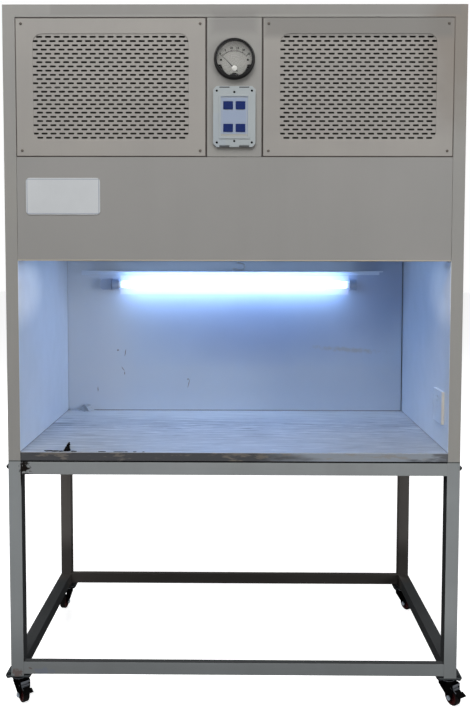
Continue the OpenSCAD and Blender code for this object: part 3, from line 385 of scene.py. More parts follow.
class Finish:
    """A material whose layers are laid one over another."""

    def __init__(self, name, colour, rough, metallic=0.0, **sockets):
        self.material = bpy.data.materials.new(name)
        self.material.use_nodes = True
        self.tree = self.material.node_tree
        self.shader = self.tree.nodes["Principled BSDF"]
        self.shader.inputs["Base Color"].default_value = colour
        self.shader.inputs["Roughness"].default_value = rough
        self.shader.inputs["Metallic"].default_value = metallic
        for key, value in sockets.items():
            self.shader.inputs[key.replace("_", " ")].default_value = value
        self.material.diffuse_color = colour
        finishes[name] = self

    def use(self, group, **values):
        """An instance of a shader group with its values; spaces in names are written as _."""
        made = node(self.tree, "ShaderNodeGroup", node_tree=group)
        for key, value in values.items():
            feed(self.tree, made.inputs[key.replace("_", " ")], value)
        return made.outputs

    def times(self, a, b):
        """The part that two masks share."""
        return maths(self.tree, "MULTIPLY", a, b)

    def layer(self, mask, colour=None, amount=1.0, **values):
        """Mixes a colour or another value over what is there, by mask times amount."""
        share = self.times(mask, amount)
        if colour is not None:
            values["Base_Color"] = colour
        for key, value in values.items():
            target = self.shader.inputs[key.replace("_", " ")]
            below = target.links[0].from_socket if target.is_linked else target.default_value
            kind, a, b, result = ("RGBA", 6, 7, 2) if isinstance(value, tuple) else ("FLOAT", 2, 3, 0)
            mix = node(self.tree, "ShaderNodeMix", data_type=kind)
            for number, term in ((0, share), (a, below), (b, value)):
                feed(self.tree, mix.inputs[number], term)
            feed(self.tree, target, mix.outputs[result])

    def bump(self, height, depth):
        """Adds a height map, with depth in millimetres, on top of the bumps that are there."""
        made = node(self.tree, "ShaderNodeBump", {"Strength": 1.0, "Distance": depth * MM, "Height": height})
        target = self.shader.inputs["Normal"]
        if target.is_linked:
            feed(self.tree, made.inputs["Normal"], target.links[0].from_socket)
        feed(self.tree, target, made.outputs["Normal"])

    def mark(self, centre, size, colour, amount=1.0, turn=0.0, ragged=0.5, detail=200.0, soft=0.3, **values):
        """A ragged patch round a point; centre and size in millimetres."""
        mask = self.use(mark, Centre=metres(*centre), Size=metres(*size), Turn=math.radians(turn),
                        Ragged=ragged, Detail_Size=detail, Softness=soft)["Mask"]
        self.layer(mask, colour, amount, **values)

    def box(self, centre, half, soft):
        """A mask for a box; centre, half size and soft edge in millimetres."""
        return self.use(region, Centre=metres(*centre), Half_Size=metres(*half), Soft_Edge=soft * MM)["Mask"]

    def ring(self, centre, outer, inner, soft=0.3):
        """A mask for what lies in one box and outside another; half sizes in millimetres."""
        return self.times(self.box(centre, outer, soft), inverse(self.tree, self.box(centre, inner, soft)))

    def strip(self, centre, half, soft, colour, amount):
        """A layer in a box, for a band, a line or a stained field."""
        self.layer(self.box(centre, half, soft), colour, amount)


print("finish helper ready")

# %% [markdown]
# ## Painted sheet and tube
# The cabinet is covered with a warm grey satin paint. It has a slight orange peel, a slow change of
# tone, fine specks and faint streaks where dust has run down. The stand has the same kind of paint in
# a colder tone, with rubbed edges. Its inner faces and its rear tubes are painted in brownish shade, and
# the cabinet's upper right corner has brown painted shade.

# %% Paints


def paint(name, colour, deeper, specks_by=0.25, streaks_by=0.10, bare=(), bare_by=0.0, scale=3.0):
    """A sprayed paint; bare is the colour that shows on chipped edges."""
    made = Finish(name, colour, 0.42, Specular_IOR_Level=0.25)
    old = made.use(mottle, Scale=scale, Speck_Size=900.0, Streak_Length=1.0)
    made.layer(old["Mottle"], deeper, 0.6)
    made.layer(old["Streaks"], tone(118, 116, 110), streaks_by, Roughness=0.6)
    made.layer(old["Specks"], tone(70, 64, 58), specks_by)
    made.bump(old["Peel"], 0.06)
    if bare:
        made.layer(made.use(wear, Mottle=old["Mottle"])["Chipped"], bare, bare_by)
    return made


cabinet = paint("cabinet_paint", tone(157, 155, 150), tone(150, 149, 147), bare=tone(176, 170, 160),
                bare_by=0.35)
grille = paint("grille_paint", tone(166, 162, 156), tone(156, 153, 149), bare=tone(120, 112, 104),
               bare_by=0.3)
header = paint("header_paint", tone(155, 153, 150), tone(150, 149, 146), bare=tone(176, 170, 160),
               bare_by=0.3)
stand = paint("stand_paint", tone(159, 163, 164), tone(149, 153, 154), bare=tone(176, 178, 174),
              bare_by=0.4, streaks_by=0.2, scale=5.0)
paint("inner_paint", tone(112, 110, 106), tone(98, 96, 92), specks_by=0.4, streaks_by=0.35)
print("paints", len(finishes))

# %% [markdown]
# Painted shade darkens the seams round the grilles and beside the console. The top of the front is
# painted in the shade of its own edge, most of all on the right, and the header's lower edge has a
# painted highlight: a pale line where the lamp lights it.

# %% Tones on the cabinet's front
# Painted shade in the seams round each grille and beside the console.
SEAM_SHADE = tone(58, 48, 44)
GAP_X, GAP_Z = 360.3, BENCH + 1102.5
for side in (-1, 1):
    gap = grille.ring((side * GAP_X, FRONT, GAP_Z), (279, 30, 201), (275.6, 30, 197.6))
    grille.layer(gap, SEAM_SHADE, 0.85)
    cabinet.strip((side * 81, FRONT, GAP_Z), (2.0, 30, 201), 0.3, SEAM_SHADE, 0.85)
# Painted shade over the top of the console.
cabinet.strip((0, FRONT, BENCH + 1290), (78, 30, 45), 30, tone(138, 136, 133), 0.7)
# Painted shade, brown, over the upper right corner of the cabinet and the right grille.
for look in (cabinet, grille):
    look.mark((655, FRONT, BENCH + 1240), (90, 40, 190), tone(128, 118, 108), 0.6, ragged=0.3,
              detail=8, soft=0.7)
# Painted shade along the top of the front, deepest over the right grille.
cabinet.strip((60, FRONT, BENCH + 1330), (600, 8, 24), 18, tone(132, 130, 127), 0.95)
grille.strip((360, FRONT, BENCH + 1282), (290, 30, 50), 30, tone(128, 126, 122), 0.75)
grille.strip((360, FRONT, BENCH + 1140), (290, 30, 190), 70, tone(132, 130, 127), 0.35)
# Painted highlight: a pale line along the header's lower edge, where the lamp lights it.
header.strip((0, FRONT, BENCH + 599.2), (640, 20, 1.6), 0.4, tone(214, 198, 170), 0.85)
print("front tones ready")

# %% [markdown]
# The stand's outer faces catch the room's light and its inner ones don't, so the inner faces are painted
# in shade. The attribute *outside*, which the softening helper writes further on, tells them apart. Ramps
# along Y and Z find the rear legs, painted in brownish shade, and the low parts, painted darker towards
# the floor. A thin box draws the dark joint at the foot, and short ones paint the shade in the gap under
# the cabinet.

# %% Tones on the stand
outside = node(stand.tree, "ShaderNodeAttribute", attribute_name="outside").outputs["Fac"]
inside = inverse(stand.tree, outside)
spot = axes_of(stand.tree, object_place(stand.tree))
low_down = ramp(stand.tree, spot["Z"], 0.30, 0.10)
at_rear = ramp(stand.tree, spot["Y"], 0.20, 0.28)
above_rails = ramp(stand.tree, spot["Z"], 0.2, 0.3)
# Painted shade on the inner faces, and on the outer faces darker towards the floor.
stand.layer(inside, tone(54, 55, 56), 0.95)
stand.layer(stand.times(outside, low_down), tone(108, 112, 113), 0.5)
# Painted shade, brownish, on the inner faces of the rear legs and tubes, paler above the rails.
stand.layer(stand.times(inside, at_rear), tone(80, 76, 73), 0.95)
stand.layer(stand.times(inside, stand.times(at_rear, above_rails)), tone(116, 112, 108), 0.8)
stand.strip((0, 0, FOOT + 1.5), (800, 400, 1.9), 0.3, tone(72, 76, 78), 0.85)
# Painted shade in the gap under the cabinet, at the top of each front leg.
for side in (-1, 1):
    stand.strip((side * 656, FRONT, BENCH - 1.2), (20, 8, 1.9), 0.4, tone(62, 67, 66), 0.8)
print("stand tones ready")

# %% [markdown]
# ## The chamber's liners
# The chamber is lined with sheets in a white stoved paint. It is glossier than the outside, and it is
# never quite flat, so a broad shallow bump bends the reflections. The soft bright patches of the lamp on
# the side walls near the front are painted highlights. Dirt lies along the joints at the bottom.

# %% Liner paint
TUBE_X, TUBE_HALF = -3.0, 447.3


def liner(name, colour, deeper):
    """A white stoved paint with a broad shallow bump."""
    made = Finish(name, colour, 0.2)
    old = made.use(mottle, Scale=2.2, Speck_Size=700.0, Streak_Length=1.0)
    made.layer(old["Mottle"], deeper, 0.5)
    made.layer(old["Streaks"], tone(176, 180, 186), 0.05, Roughness=0.35)
    made.layer(old["Specks"], tone(120, 104, 88), 0.25)
    made.bump(noise(made.tree, object_place(made.tree), 5.0, 2.0), 4.0)
    made.bump(old["Peel"], 0.05)
    return made


side_sheets = liner("liner_paint", tone(206, 217, 232), tone(196, 208, 224))
rear = liner("rear_liner_paint", tone(192, 205, 222), tone(181, 195, 214))
side_sheets.strip((0, 0, BENCH + 24), (660, 340, 5.5), 2, tone(96, 88, 84), 0.7)
# Painted highlight: a near-white, glossier patch on each side wall near the front top, where the end of the
# tube is mirrored.
for side in (-1, 1):
    side_sheets.mark((side * 640, -270, BENCH + 504), (40, 150, 80), tone(250, 252, 255), 1.0, ragged=0.1,
                     detail=4, soft=0.6, Roughness=0.1)
print("liner paints ready")

# %% [markdown]
# The lamp's light on the rear sheet is uneven, and this light and shade is painted into its colour:
# painted shade makes it darker and bluer in the middle and at the upper right, and painted light makes it
# paler and greyer at the left and along the bottom. One brown stain runs across it.

# %% Tones of the rear sheet
BROWN = tone(112, 92, 80)
SOFT_PATCH = {"ragged": 0.15, "detail": 3}
# Painted shade: a darker, bluer patch in the middle.
rear.mark((90, REAR_WALL, BENCH + 340), (360, 30, 110), tone(140, 160, 200), 0.6, soft=0.7, **SOFT_PATCH)
# Painted shade at the upper right.
rear.mark((580, REAR_WALL, BENCH + 500), (150, 30, 150), tone(138, 156, 190), 0.7, soft=0.7, **SOFT_PATCH)
rear.mark((430, REAR_WALL, BENCH + 262), (90, 30, 7), tone(176, 160, 134), 0.4, turn=-4, ragged=0.9,
          detail=60, soft=0.8)
# Painted light: a paler grey field at the left, where the room's light reaches in.
rear.mark((-560, REAR_WALL, BENCH + 300), (150, 30, 300), tone(206, 208, 212), 0.6, soft=0.6, **SOFT_PATCH)
# Painted light: paler grey along the bottom, as of the room's light sent up by the steel.
rear.strip((0, REAR_WALL, BENCH + 40), (700, 30, 180), 90, tone(206, 210, 216), 0.55)
rear.strip((0, REAR_WALL, BENCH + 24), (640, 6, 6.5), 2, tone(104, 92, 84), 0.7)
print("rear sheet tones ready")

# %% [markdown]
# The rear sheet right behind the tube is so bright that it loses its blue. A faint warm emission in two
# soft boxes, a wide halo and a narrow core, stands for that glare.

# %% Glare behind the lamp
halo = rear.box((TUBE_X, REAR_WALL, BENCH + 508), (TUBE_HALF + 20, 6, 84), 70)
core = rear.box((TUBE_X, REAR_WALL, BENCH + 508), (TUBE_HALF - 10, 6, 40), 24)
# Painted highlight: a paler strip in the base colour behind the tube, part of the glare.
rear.strip((TUBE_X, REAR_WALL, BENCH + 500), (TUBE_HALF, 6, 80), 60, tone(204, 184, 196), 0.55)
rear.shader.inputs["Emission Strength"].default_value = 1.0
rear.shader.inputs["Emission Color"].default_value = (0, 0, 0, 1)
rear.layer(rear.times(halo, halo), Emission_Color=(0.14, 0.05, 0.0, 1))
rear.layer(core, Emission_Color=(0.95, 0.62, 0.45, 1))
print("glare ready")

# %% [markdown]
# ## Bare metal
# The work surface is stainless steel, wiped along its length for years. Long fine scratches and broad
# dull bands run along X. Its folded front lip has a painted reflection, dark on the left and bright on
# the right, as of a dark room and a bright window. Zinc plate, galvanised sheet and black steel are simpler.

# %% Brushed steel
steel = Finish("stainless_steel", tone(206, 211, 218), 0.42, 0.5)
lines = steel.use(brushing, Stretch=(9.0, 85.0, 85.0))
scratches = ramp(steel.tree, lines["Grain"], 0.55, 0.64)
light_scratches = ramp(steel.tree, lines["Grain"], 0.46, 0.38)
grit = steel.use(mottle, Scale=9.0, Speck_Size=520.0, Streak_Length=1.0)
place = object_place(steel.tree)
spot = axes_of(steel.tree, place)
steel.layer(lines["Bands"], tone(172, 177, 186), 0.4, Roughness=0.5)
steel.layer(scratches, tone(120, 126, 138), 0.75)
steel.layer(light_scratches, tone(246, 248, 250), 0.75, Roughness=0.3)
steel.layer(grit["Specks"], tone(98, 82, 74), 0.5)
steel.layer(grit["Mottle"], tone(186, 190, 198), 0.35)
# Darker towards the front. Towards the back, a painted reflection of the lit rear sheet makes it near white.
steel.layer(ramp(steel.tree, spot["Y"], 0.06, -0.22), tone(160, 166, 174), 0.6)
steel.layer(ramp(steel.tree, spot["Y"], 0.02, 0.24), tone(250, 251, 253), 0.75)
steel.bump(lines["Grain"], 0.1)
print("steel ready")

# %% [markdown]
# The lip stands upright, so it reflects other things than the surface does, and that reflection is
# painted into its colour. A box picks it out, and a ramp along X with some noise in it sets where the
# painted dark part ends and the painted bright part starts.

# %% The folded front lip
lip = steel.box((0, FRONT + 0.4, BENCH + 12), (641, 1.6, 13.4), 0.3)
patchy = noise(steel.tree, vector_maths(steel.tree, "MULTIPLY", place, (6.0, 1.0, 40.0)), 1.0, 4.0, 0.6)
blotch = noise(steel.tree, vector_maths(steel.tree, "MULTIPLY", place, (16.0, 1.0, 70.0)), 1.0, 3.0, 0.6)
drift = maths(steel.tree, "MULTIPLY_ADD", patchy, 0.5, spot["X"])
painted_bright_end = steel.times(lip, ramp(steel.tree, drift, 0.30, 0.52))
blotches = steel.times(lip, ramp(steel.tree, blotch, 0.54, 0.64))
painted_dark_end = steel.times(lip, ramp(steel.tree, drift, 0.80, 0.86))
# Painted reflection on the lip: dark over most of it, bright at the right end.
steel.layer(lip, tone(50, 51, 54), 1.0, Roughness=0.35)
steel.layer(painted_bright_end, tone(126, 133, 142), 0.85)
steel.layer(blotches, tone(116, 108, 98), 0.45)
steel.layer(painted_dark_end, tone(58, 58, 60), 0.8)
print("lip ready")

# %% Other metals


def metal(name, colour, rough, deeper, metallic=0.9, scale=30.0, rubbed=()):
    """A plain metal with a slow change of tone and fine specks; rubbed is the tone of its edges."""
    made = Finish(name, colour, rough, metallic)
    old = made.use(mottle, Scale=scale, Speck_Size=1400.0, Streak_Length=3.0)
    made.layer(old["Mottle"], deeper, 0.5, Roughness=min(rough + 0.18, 1.0))
    made.layer(old["Specks"], tone(60, 52, 46), 0.3)
    made.bump(old["Peel"], 0.04)
    if rubbed:
        made.layer(made.use(wear, Mottle=old["Mottle"])["Rubbed"], rubbed, 0.6)
    return made


metal("zinc_plate", tone(128, 136, 144), 0.4, tone(92, 98, 104))
metal("galvanised_sheet", tone(176, 180, 183), 0.42, tone(140, 146, 150), scale=60.0)
metal("black_steel", tone(13, 12, 12), 0.6, tone(8, 8, 8), metallic=0.0, rubbed=tone(34, 32, 31))
metal("grimy_zinc", tone(92, 96, 102), 0.5, tone(66, 68, 72), metallic=0.3)
metal("plate_steel", tone(48, 51, 54), 0.6, tone(34, 35, 36), metallic=0.0)
metal("blackened_screw", tone(92, 86, 80), 0.4, tone(50, 46, 42), metallic=0.7)
metal("motor_enamel", tone(78, 84, 92), 0.4, tone(62, 66, 74), metallic=0.2)
print("metals ready")

# %% [markdown]
# ## Plastics, rubber, glass and filter paper
# Moulded parts get a faint leathery grain and a little dust. The lamp's glass glows by itself: its
# emission is the chamber's only light, and it is a little blue, as a daylight lamp is.

# %% Plastics and the rest


def plastic(name, colour, rough, deeper, amount=0.4, grain=900.0, depth=0.03, rubbed=()):
    """A moulded part; depth is its grain's, in millimetres, and rubbed the tone of its edges."""
    made = Finish(name, colour, rough)
    old = made.use(mottle, Scale=14.0, Speck_Size=grain, Streak_Length=4.0)
    made.layer(old["Mottle"], deeper, amount)
    made.layer(old["Specks"], tone(150, 146, 140), 0.12, Roughness=0.7)
    made.bump(old["Peel"], depth)
    if rubbed:
        made.layer(made.use(wear, Mottle=old["Mottle"])["Rubbed"], rubbed, 0.5)
    return made


plastic("bezel_black", tone(26, 25, 26), 0.3, tone(17, 17, 18), rubbed=tone(80, 78, 76))
plastic("pointer_black", tone(30, 28, 28), 0.5, tone(20, 20, 20))
plastic("dial_enamel", tone(138, 136, 131), 0.5, tone(126, 124, 119), amount=0.5)
plastic("print_black", tone(18, 17, 17), 0.6, tone(12, 12, 12))
plastic("hub_pale", tone(204, 202, 197), 0.4, tone(190, 187, 182))
plastic("key_blue", tone(28, 44, 100), 0.5, tone(22, 36, 86), rubbed=tone(12, 12, 18))
plastic("holder_white", tone(158, 170, 192), 0.38, tone(138, 150, 174), amount=0.6)
socket = plastic("socket_white", tone(200, 212, 228), 0.4, tone(192, 204, 220))
socket.strip((633, -286, BENCH + 152), (12, 4, 70), 0.5, tone(222, 214, 200), 0.9)
plastic("lead_white", tone(212, 214, 216), 0.45, tone(190, 192, 196))
plastic("tyre_rubber", tone(16, 14, 14), 0.8, tone(28, 25, 24), grain=1600.0, depth=0.1)
plastic("rim_maroon", tone(60, 16, 16), 0.6, tone(44, 12, 12))
plastic("screw_hole_black", tone(10, 10, 11), 0.6, tone(6, 6, 7))
plastic("tape_residue", tone(8, 8, 9), 0.7, tone(16, 15, 14), amount=0.6)
plate = plastic("bare_plate", tone(205, 208, 210), 0.34, tone(198, 201, 203), amount=0.5)
plastic("filter_paper", tone(60, 57, 53), 0.9, tone(40, 38, 35), amount=0.6, grain=2200.0)
Finish("gauge_window", (0.97, 0.98, 0.98, 1), 0.04, Transmission_Weight=1.0, IOR=1.2)
print("plastics ready")

# %% [markdown]
# The room is white, and a shiny dark part would mirror it, above all where it is seen at a low angle.
# These finishes are old and dull, so their mirror share is cut down on the shader's own socket.

# %% Dull finishes
DULL = {"black_steel": 0.0, "tyre_rubber": 0.05, "rim_maroon": 0.05, "tape_residue": 0.05, "bezel_black": 0.2,
        "screw_hole_black": 0.0, "print_black": 0.0, "plate_steel": 0.0, "stand_paint": 0.0, "key_blue": 0.1}
for name, shine in DULL.items():
    finishes[name].shader.inputs["Specular IOR Level"].default_value = shine
print("finishes", len(finishes))

# %% [markdown]
# ## Softening CAD solids
# CAD edges are perfectly sharp, which no bent sheet or steel tube is. A copy of each visible solid has
# its loose triangles merged and its flat facets joined, and then its sharp edges are bevelled. The new
# narrow faces are marked in an attribute called *edge*, so that a finish can wear them, and the faces
# that look away from the bench's middle in one called *outside*. The copy then stands for the CAD
# solid, and rides on the same body.

# %% Mesh helpers


def mesh_piece(name, mesh, body, slot, *looks):
    """Makes an object from a mesh, with its finishes and its body; slot is not used."""
    made = add_object(name, mesh)
    numbers = [face.material_index for face in mesh.polygons]
    mesh.materials.clear()
    for look in looks:
        mesh.materials.append(finishes[look].material)
    for face, number in zip(mesh.polygons, numbers):
        face.material_index = min(number, len(looks) - 1)
    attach(made, body)
    return made


def even_normals(made):
    """Large flat faces keep their own direction and the narrow edge faces take the shading."""
    weighted = made.modifiers.new("even_normals", "WEIGHTED_NORMAL")
    weighted.keep_sharp = True
    return made


def smooth(mesh, angle):
    """Smooth shading, with edges sharper than the angle kept."""
    mesh.shade_smooth()
    mesh.set_sharp_from_angle(angle=math.radians(angle))


def to_mesh(bm, name, angle=None):
    """A mesh from a bmesh, which is freed; smooth up to the angle, if one is given."""
    mesh = bpy.data.meshes.new(name)
    bm.to_mesh(mesh)
    bm.free()
    if angle:
        smooth(mesh, angle)
    return mesh


def round_edges(bm, sharp, width, clamp):
    """Bevels edges, width in millimetres, and marks the new faces in the attribute edge."""
    worn = bm.faces.layers.float.new("edge")
    rounded = bmesh.ops.bevel(bm, geom=sharp, offset=width * MM, segments=2, profile=0.5,
                              affect="EDGES", clamp_overlap=clamp)
    for face in rounded["faces"]:
        face[worn] = 1.0


print("mesh helpers ready")

# %% Softening helper
HALF_WIDTH, HALF_DEPTH = 0.675, 0.33
SIDE_ZONE, FRONT_ZONE, FACING = 0.93, 0.87, 0.6
SAME_POINT, FLAT_ANGLE, SHARP_ANGLE = 2e-6, 0.4, 35


def mark_outside(bm):
    """Marks faces near the bench's outline that look outwards, in the attribute outside."""
    outward = bm.faces.layers.float.new("outside")
    for face in bm.faces:
        middle = face.calc_center_median()
        across, deep = middle.x / HALF_WIDTH, middle.y / HALF_DEPTH
        sideways = face.normal.x * across if abs(across) > SIDE_ZONE else 0
        forwards = face.normal.y * deep if abs(deep) > FRONT_ZONE else 0
        face[outward] = 1.0 if max(sideways, forwards) > FACING else 0.0


def soften(name, look, width):
    """Replaces CAD node name by a copy with rounded edges, width in millimetres."""
    bm = bmesh.new()
    bm.from_mesh(nodes[name].data)
    bmesh.ops.remove_doubles(bm, verts=bm.verts, dist=SAME_POINT)
    bmesh.ops.dissolve_limit(bm, angle_limit=math.radians(FLAT_ANGLE), verts=bm.verts, edges=bm.edges)
    limit = math.radians(SHARP_ANGLE)
    sharp = [e for e in bm.edges if len(e.link_faces) == 2 and e.calc_face_angle(0) > limit]
    round_edges(bm, sharp, width, clamp=True)
    bm.normal_update()
    mark_outside(bm)
    mesh = to_mesh(bm, name + "_soft", SHARP_ANGLE)
    made = even_normals(mesh_piece(name + "_soft", mesh, body_of[name], slot_of[name], look))
    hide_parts(name)


print("softening helper ready")

# %% [markdown]
# The table gives the finish, the width of the rounding in millimetres and the solids that share them.

# %% What gets soft edges
softened = {
    "cabinet_paint": (0.5, ["left_side_panel", "right_side_panel", "rear_panel", "top_cover",
                            "console_panel", "cabinet_frame"]),
    "header_paint": (0.5, ["header_panel"]),
    "stand_paint": (1.6, ["left_end_frame", "right_end_frame", "upper_front_rail", "upper_rear_rail",
                          "lower_front_rail", "lower_rear_rail"]),
    "liner_paint": (0.4, ["left_liner", "right_liner", "lamp_shade"]),
    "rear_liner_paint": (0.5, ["rear_liner"]),
    "stainless_steel": (0.5, ["work_surface"]),
    "bezel_black": (0.8, ["gauge_case"]),
    "bare_plate": (0.5, ["nameplate"]),
    "key_blue": (0.6, ["upper_left_key", "upper_right_key", "lower_left_key", "lower_right_key"]),
    "keypad_grey": (0.5, ["keypad_plate"]),
    "socket_white": (1.2, ["power_socket"]),
    "motor_enamel": (1.0, ["blower_motor"]),
    "black_steel": (0.5, ["front_left_fork", "front_right_fork", "rear_left_fork", "rear_right_fork",
                          "left_brake_pedal", "right_brake_pedal"]),
    "plate_steel": (0.5, ["caster_plates", "stand_bolts"]),
    "zinc_plate": (0.5, ["front_left_axle", "front_right_axle", "rear_left_axle", "rear_right_axle"]),
}
print("to soften", sum(len(names) for _, names in softened.values()))

# %% [markdown]
# ## The keypad's plate
# One moulding carries the frame, the printed label and the screw seats, so its finish has regions: the
# pale grey frame, a cooler label inside the raised rim with a thin light border, and dark strips of
# painted shade where notches cut its top and bottom edges.

# %% Keypad finish
KEYPAD_Z = BENCH + 1017.0
LABEL = (0, -337, KEYPAD_Z)
pad = plastic("keypad_grey", tone(168, 175, 177), 0.36, tone(158, 165, 168), rubbed=tone(196, 200, 199))
pad.strip((-46, -333, KEYPAD_Z - 52), (24, 9, 66), 18, tone(148, 162, 188), 0.7)
pad.strip(LABEL, (39.6, 1.5, 58.0), 0.2, tone(148, 161, 184), 0.95)
pad.strip((0, -337, KEYPAD_Z - 53.5), (39, 1.5, 4.0), 0.4, tone(156, 156, 148), 0.9)
pad.layer(pad.ring(LABEL, (42.4, 1.5, 60.4), (39.4, 1.8, 57.8)), tone(92, 100, 116), 0.85)
# Painted shade at the notches along the plate's top and bottom edges.
for side in (-1, 1):
    for above, half_height in ((84.4, 1.7), (-86.2, 3.2)):
        pad.strip((side * 28.8, -333, KEYPAD_Z + above), (14.8, 9, half_height), 0.3, tone(40, 40, 42), 0.9)
pad.layer(pad.ring(LABEL, (36.8, 0.4, 55.2), (35.2, 1.5, 53.6)), tone(176, 178, 172), 0.6)
print("keypad finish ready")

# %% Soften the visible solids
for look, (width, names) in softened.items():
    for name in names:
        soften(name, look, width)

# %% [markdown]
# ## Solids that keep their shape
# Inner and small parts are right as they are and only get a finish.

# %% Finishes on the CAD solids
kept = {
    "inner_paint": ["prefilter_frame", "blower_deck"],
    "filter_paper": ["pre_filters", "hepa_filter"],
    "galvanised_sheet": ["diffuser_screen", "blower_scroll", "blower_impeller"],
    "pointer_black": ["gauge_pointer", "cable_gland"],
    "dial_enamel": ["gauge_dial"],
    "gauge_window": ["gauge_lens"],
    "holder_white": ["lamp_fittings"],
    "lead_white": ["lamp_lead"],
}


def dress(name, look):
    """Gives a CAD solid its finish and smooth shading, and leaves its shape."""
    mesh = nodes[name].data
    mesh.materials.clear()
    mesh.materials.append(finishes[look].material)
    smooth(mesh, 30)


for look, names in kept.items():
    for name in names:
        dress(name, look)
print("finished", sum(len(names) for names in kept.values()), "solids in place")

# %% [markdown]
# ## The lamp
# A fluorescent tube glows evenly along its length and fades over the last few centimetres. Metal caps
# close its ends. The whole tube is one solid, so the finish finds its parts by their place along X.

# %% Lamp finish
LAMP_GLOW = 14.0
lamp = Finish("lamp_glass", (0.96, 0.98, 1.0, 1), 0.25)
along = axes_of(lamp.tree, object_place(lamp.tree))["X"]
from_middle = maths(lamp.tree, "ABSOLUTE", maths(lamp.tree, "SUBTRACT", along, TUBE_X * MM))
lit = ramp(lamp.tree, from_middle, (TUBE_HALF - 18) * MM, (TUBE_HALF - 60) * MM)
cap = ramp(lamp.tree, from_middle, (TUBE_HALF - 12) * MM, (TUBE_HALF - 11) * MM)
lamp.shader.inputs["Emission Strength"].default_value = LAMP_GLOW
lamp.shader.inputs["Emission Color"].default_value = (0, 0, 0, 1)
lamp.layer(lit, Emission_Color=(0.38, 0.60, 1.0, 1))
lamp.layer(cap, tone(180, 180, 178), 1.0, Metallic=0.9, Roughness=0.35)
dress("fluorescent_tube", "lamp_glass")
print("lamp length", round(2 * TUBE_HALF), "mm")

# %% [markdown]
# ## The slotted grilles
# Each grille is a folded panel with a round-cornered window, and a sheet of slots behind it. The rows
# of slots are shifted by half a pitch, one after the other. A rule like this is what Geometry Nodes
# are for: one slot outline is copied to the points of a grid, the outlines and the sheet's border are
# filled together, and the filled face is pulled into a thin sheet. The ends of a real slot are round.

# %% Helpers for Geometry Nodes
INT, MATERIAL, GEOMETRY = "NodeSocketInt", "NodeSocketMaterial", "NodeSocketGeometry"


def new_geometry(name, inputs):
    """A geometry tree that makes one mesh with one material; returns it with its two ends."""
    sockets = [*inputs, ("Material", MATERIAL, None)]
    return new_group("GeometryNodeTree", name, sockets, [("Geometry", GEOMETRY)])


def join(tree, *parts):
    """Several parts as one geometry."""
    made = node(tree, "GeometryNodeJoinGeometry")
    for part in parts:
        feed(tree, made.inputs[0], part)
    return made.outputs[0]


def close_tree(tree, result, start, end):
    """Ends a tree in Realize Instances and Set Material."""
    real = node(tree, "GeometryNodeRealizeInstances", {0: result})
    look = node(tree, "GeometryNodeSetMaterial", {"Geometry": real.outputs[0],
                                                  "Material": start["Material"]})
    feed(tree, end[0], look.outputs[0])
    print("tree", tree.name, len(tree.nodes), "nodes")


def as_mesh(holder, name):
    """What an object looks like with its modifiers, as a plain mesh; the object is removed."""
    bpy.context.view_layer.update()
    graph = bpy.context.evaluated_depsgraph_get()
    mesh = bpy.data.meshes.new_from_object(holder.evaluated_get(graph))
    mesh.name = name
    bpy.data.objects.remove(holder)
    return mesh


def run_tree(tree, name, values):
    """Runs a geometry tree on an empty object and returns the result as a plain mesh."""
    holder = add_object(name + "_tree", bpy.data.meshes.new(name + "_start"))
    modifier = holder.modifiers.new("build", "NODES")
    modifier.node_group = tree
    ids = {i.name: i.identifier for i in tree.interface.items_tree if i.in_out == "INPUT"}
    for key, value in values.items():
        modifier[ids[key]] = value
    return as_mesh(holder, name)


print("geometry helpers ready")

# %% Tree: a sheet with rows of round-ended slots
slots, start, end = new_geometry("Slotted sheet", [
    ("Width", FLOAT, 0.474), ("Height", FLOAT, 0.328), ("Thickness", FLOAT, 0.001),
    ("Rows", INT, 25), ("Slots", INT, 18), ("Pitch", FLOAT, 0.026), ("Row Pitch", FLOAT, 0.0121),
    ("Slot Length", FLOAT, 0.0185), ("Slot Height", FLOAT, 0.0056),
])
end_radius = maths(slots, "MULTIPLY", start["Slot Height"], 0.499)
outline = node(slots, "GeometryNodeCurvePrimitiveQuadrilateral",
               {"Width": start["Slot Length"], "Height": start["Slot Height"]})
rounded = node(slots, "GeometryNodeFilletCurve",
               {"Curve": outline.outputs[0], "Count": 3, "Radius": end_radius}, mode="POLY")
last_slot = maths(slots, "SUBTRACT", start["Slots"], 1.0)
last_row = maths(slots, "SUBTRACT", start["Rows"], 1.0)
grid = node(slots, "GeometryNodeMeshGrid", {
    "Vertices X": start["Slots"], "Size X": maths(slots, "MULTIPLY", last_slot, start["Pitch"]),
    "Vertices Y": start["Rows"], "Size Y": maths(slots, "MULTIPLY", last_row, start["Row Pitch"])})
index = node(slots, "GeometryNodeInputIndex").outputs[0]
row = maths(slots, "MODULO", index, start["Rows"])
column = maths(slots, "FLOOR", maths(slots, "DIVIDE", index, start["Rows"]))
even = maths(slots, "SUBTRACT", 1.0, maths(slots, "MODULO", row, 2.0))
half_pitch = maths(slots, "MULTIPLY", maths(slots, "MULTIPLY", even, start["Pitch"]), 0.5)
moved = node(slots, "GeometryNodeSetPosition", {0: grid.outputs[0], "Offset": vector(slots, X=half_pitch)})
extra = maths(slots, "MULTIPLY", even, maths(slots, "COMPARE", column, last_slot, 0.5))
kept_points = node(slots, "GeometryNodeDeleteGeometry", {0: moved.outputs[0], "Selection": extra})
copies = node(slots, "GeometryNodeInstanceOnPoints",
              {"Points": kept_points.outputs[0], "Instance": rounded.outputs[0]})
holes = node(slots, "GeometryNodeRealizeInstances", {0: copies.outputs[0]})
border = node(slots, "GeometryNodeCurvePrimitiveQuadrilateral",
              {"Width": start["Width"], "Height": start["Height"]})
fill = node(slots, "GeometryNodeFillCurve", {0: join(slots, border.outputs[0], holes.outputs[0])})
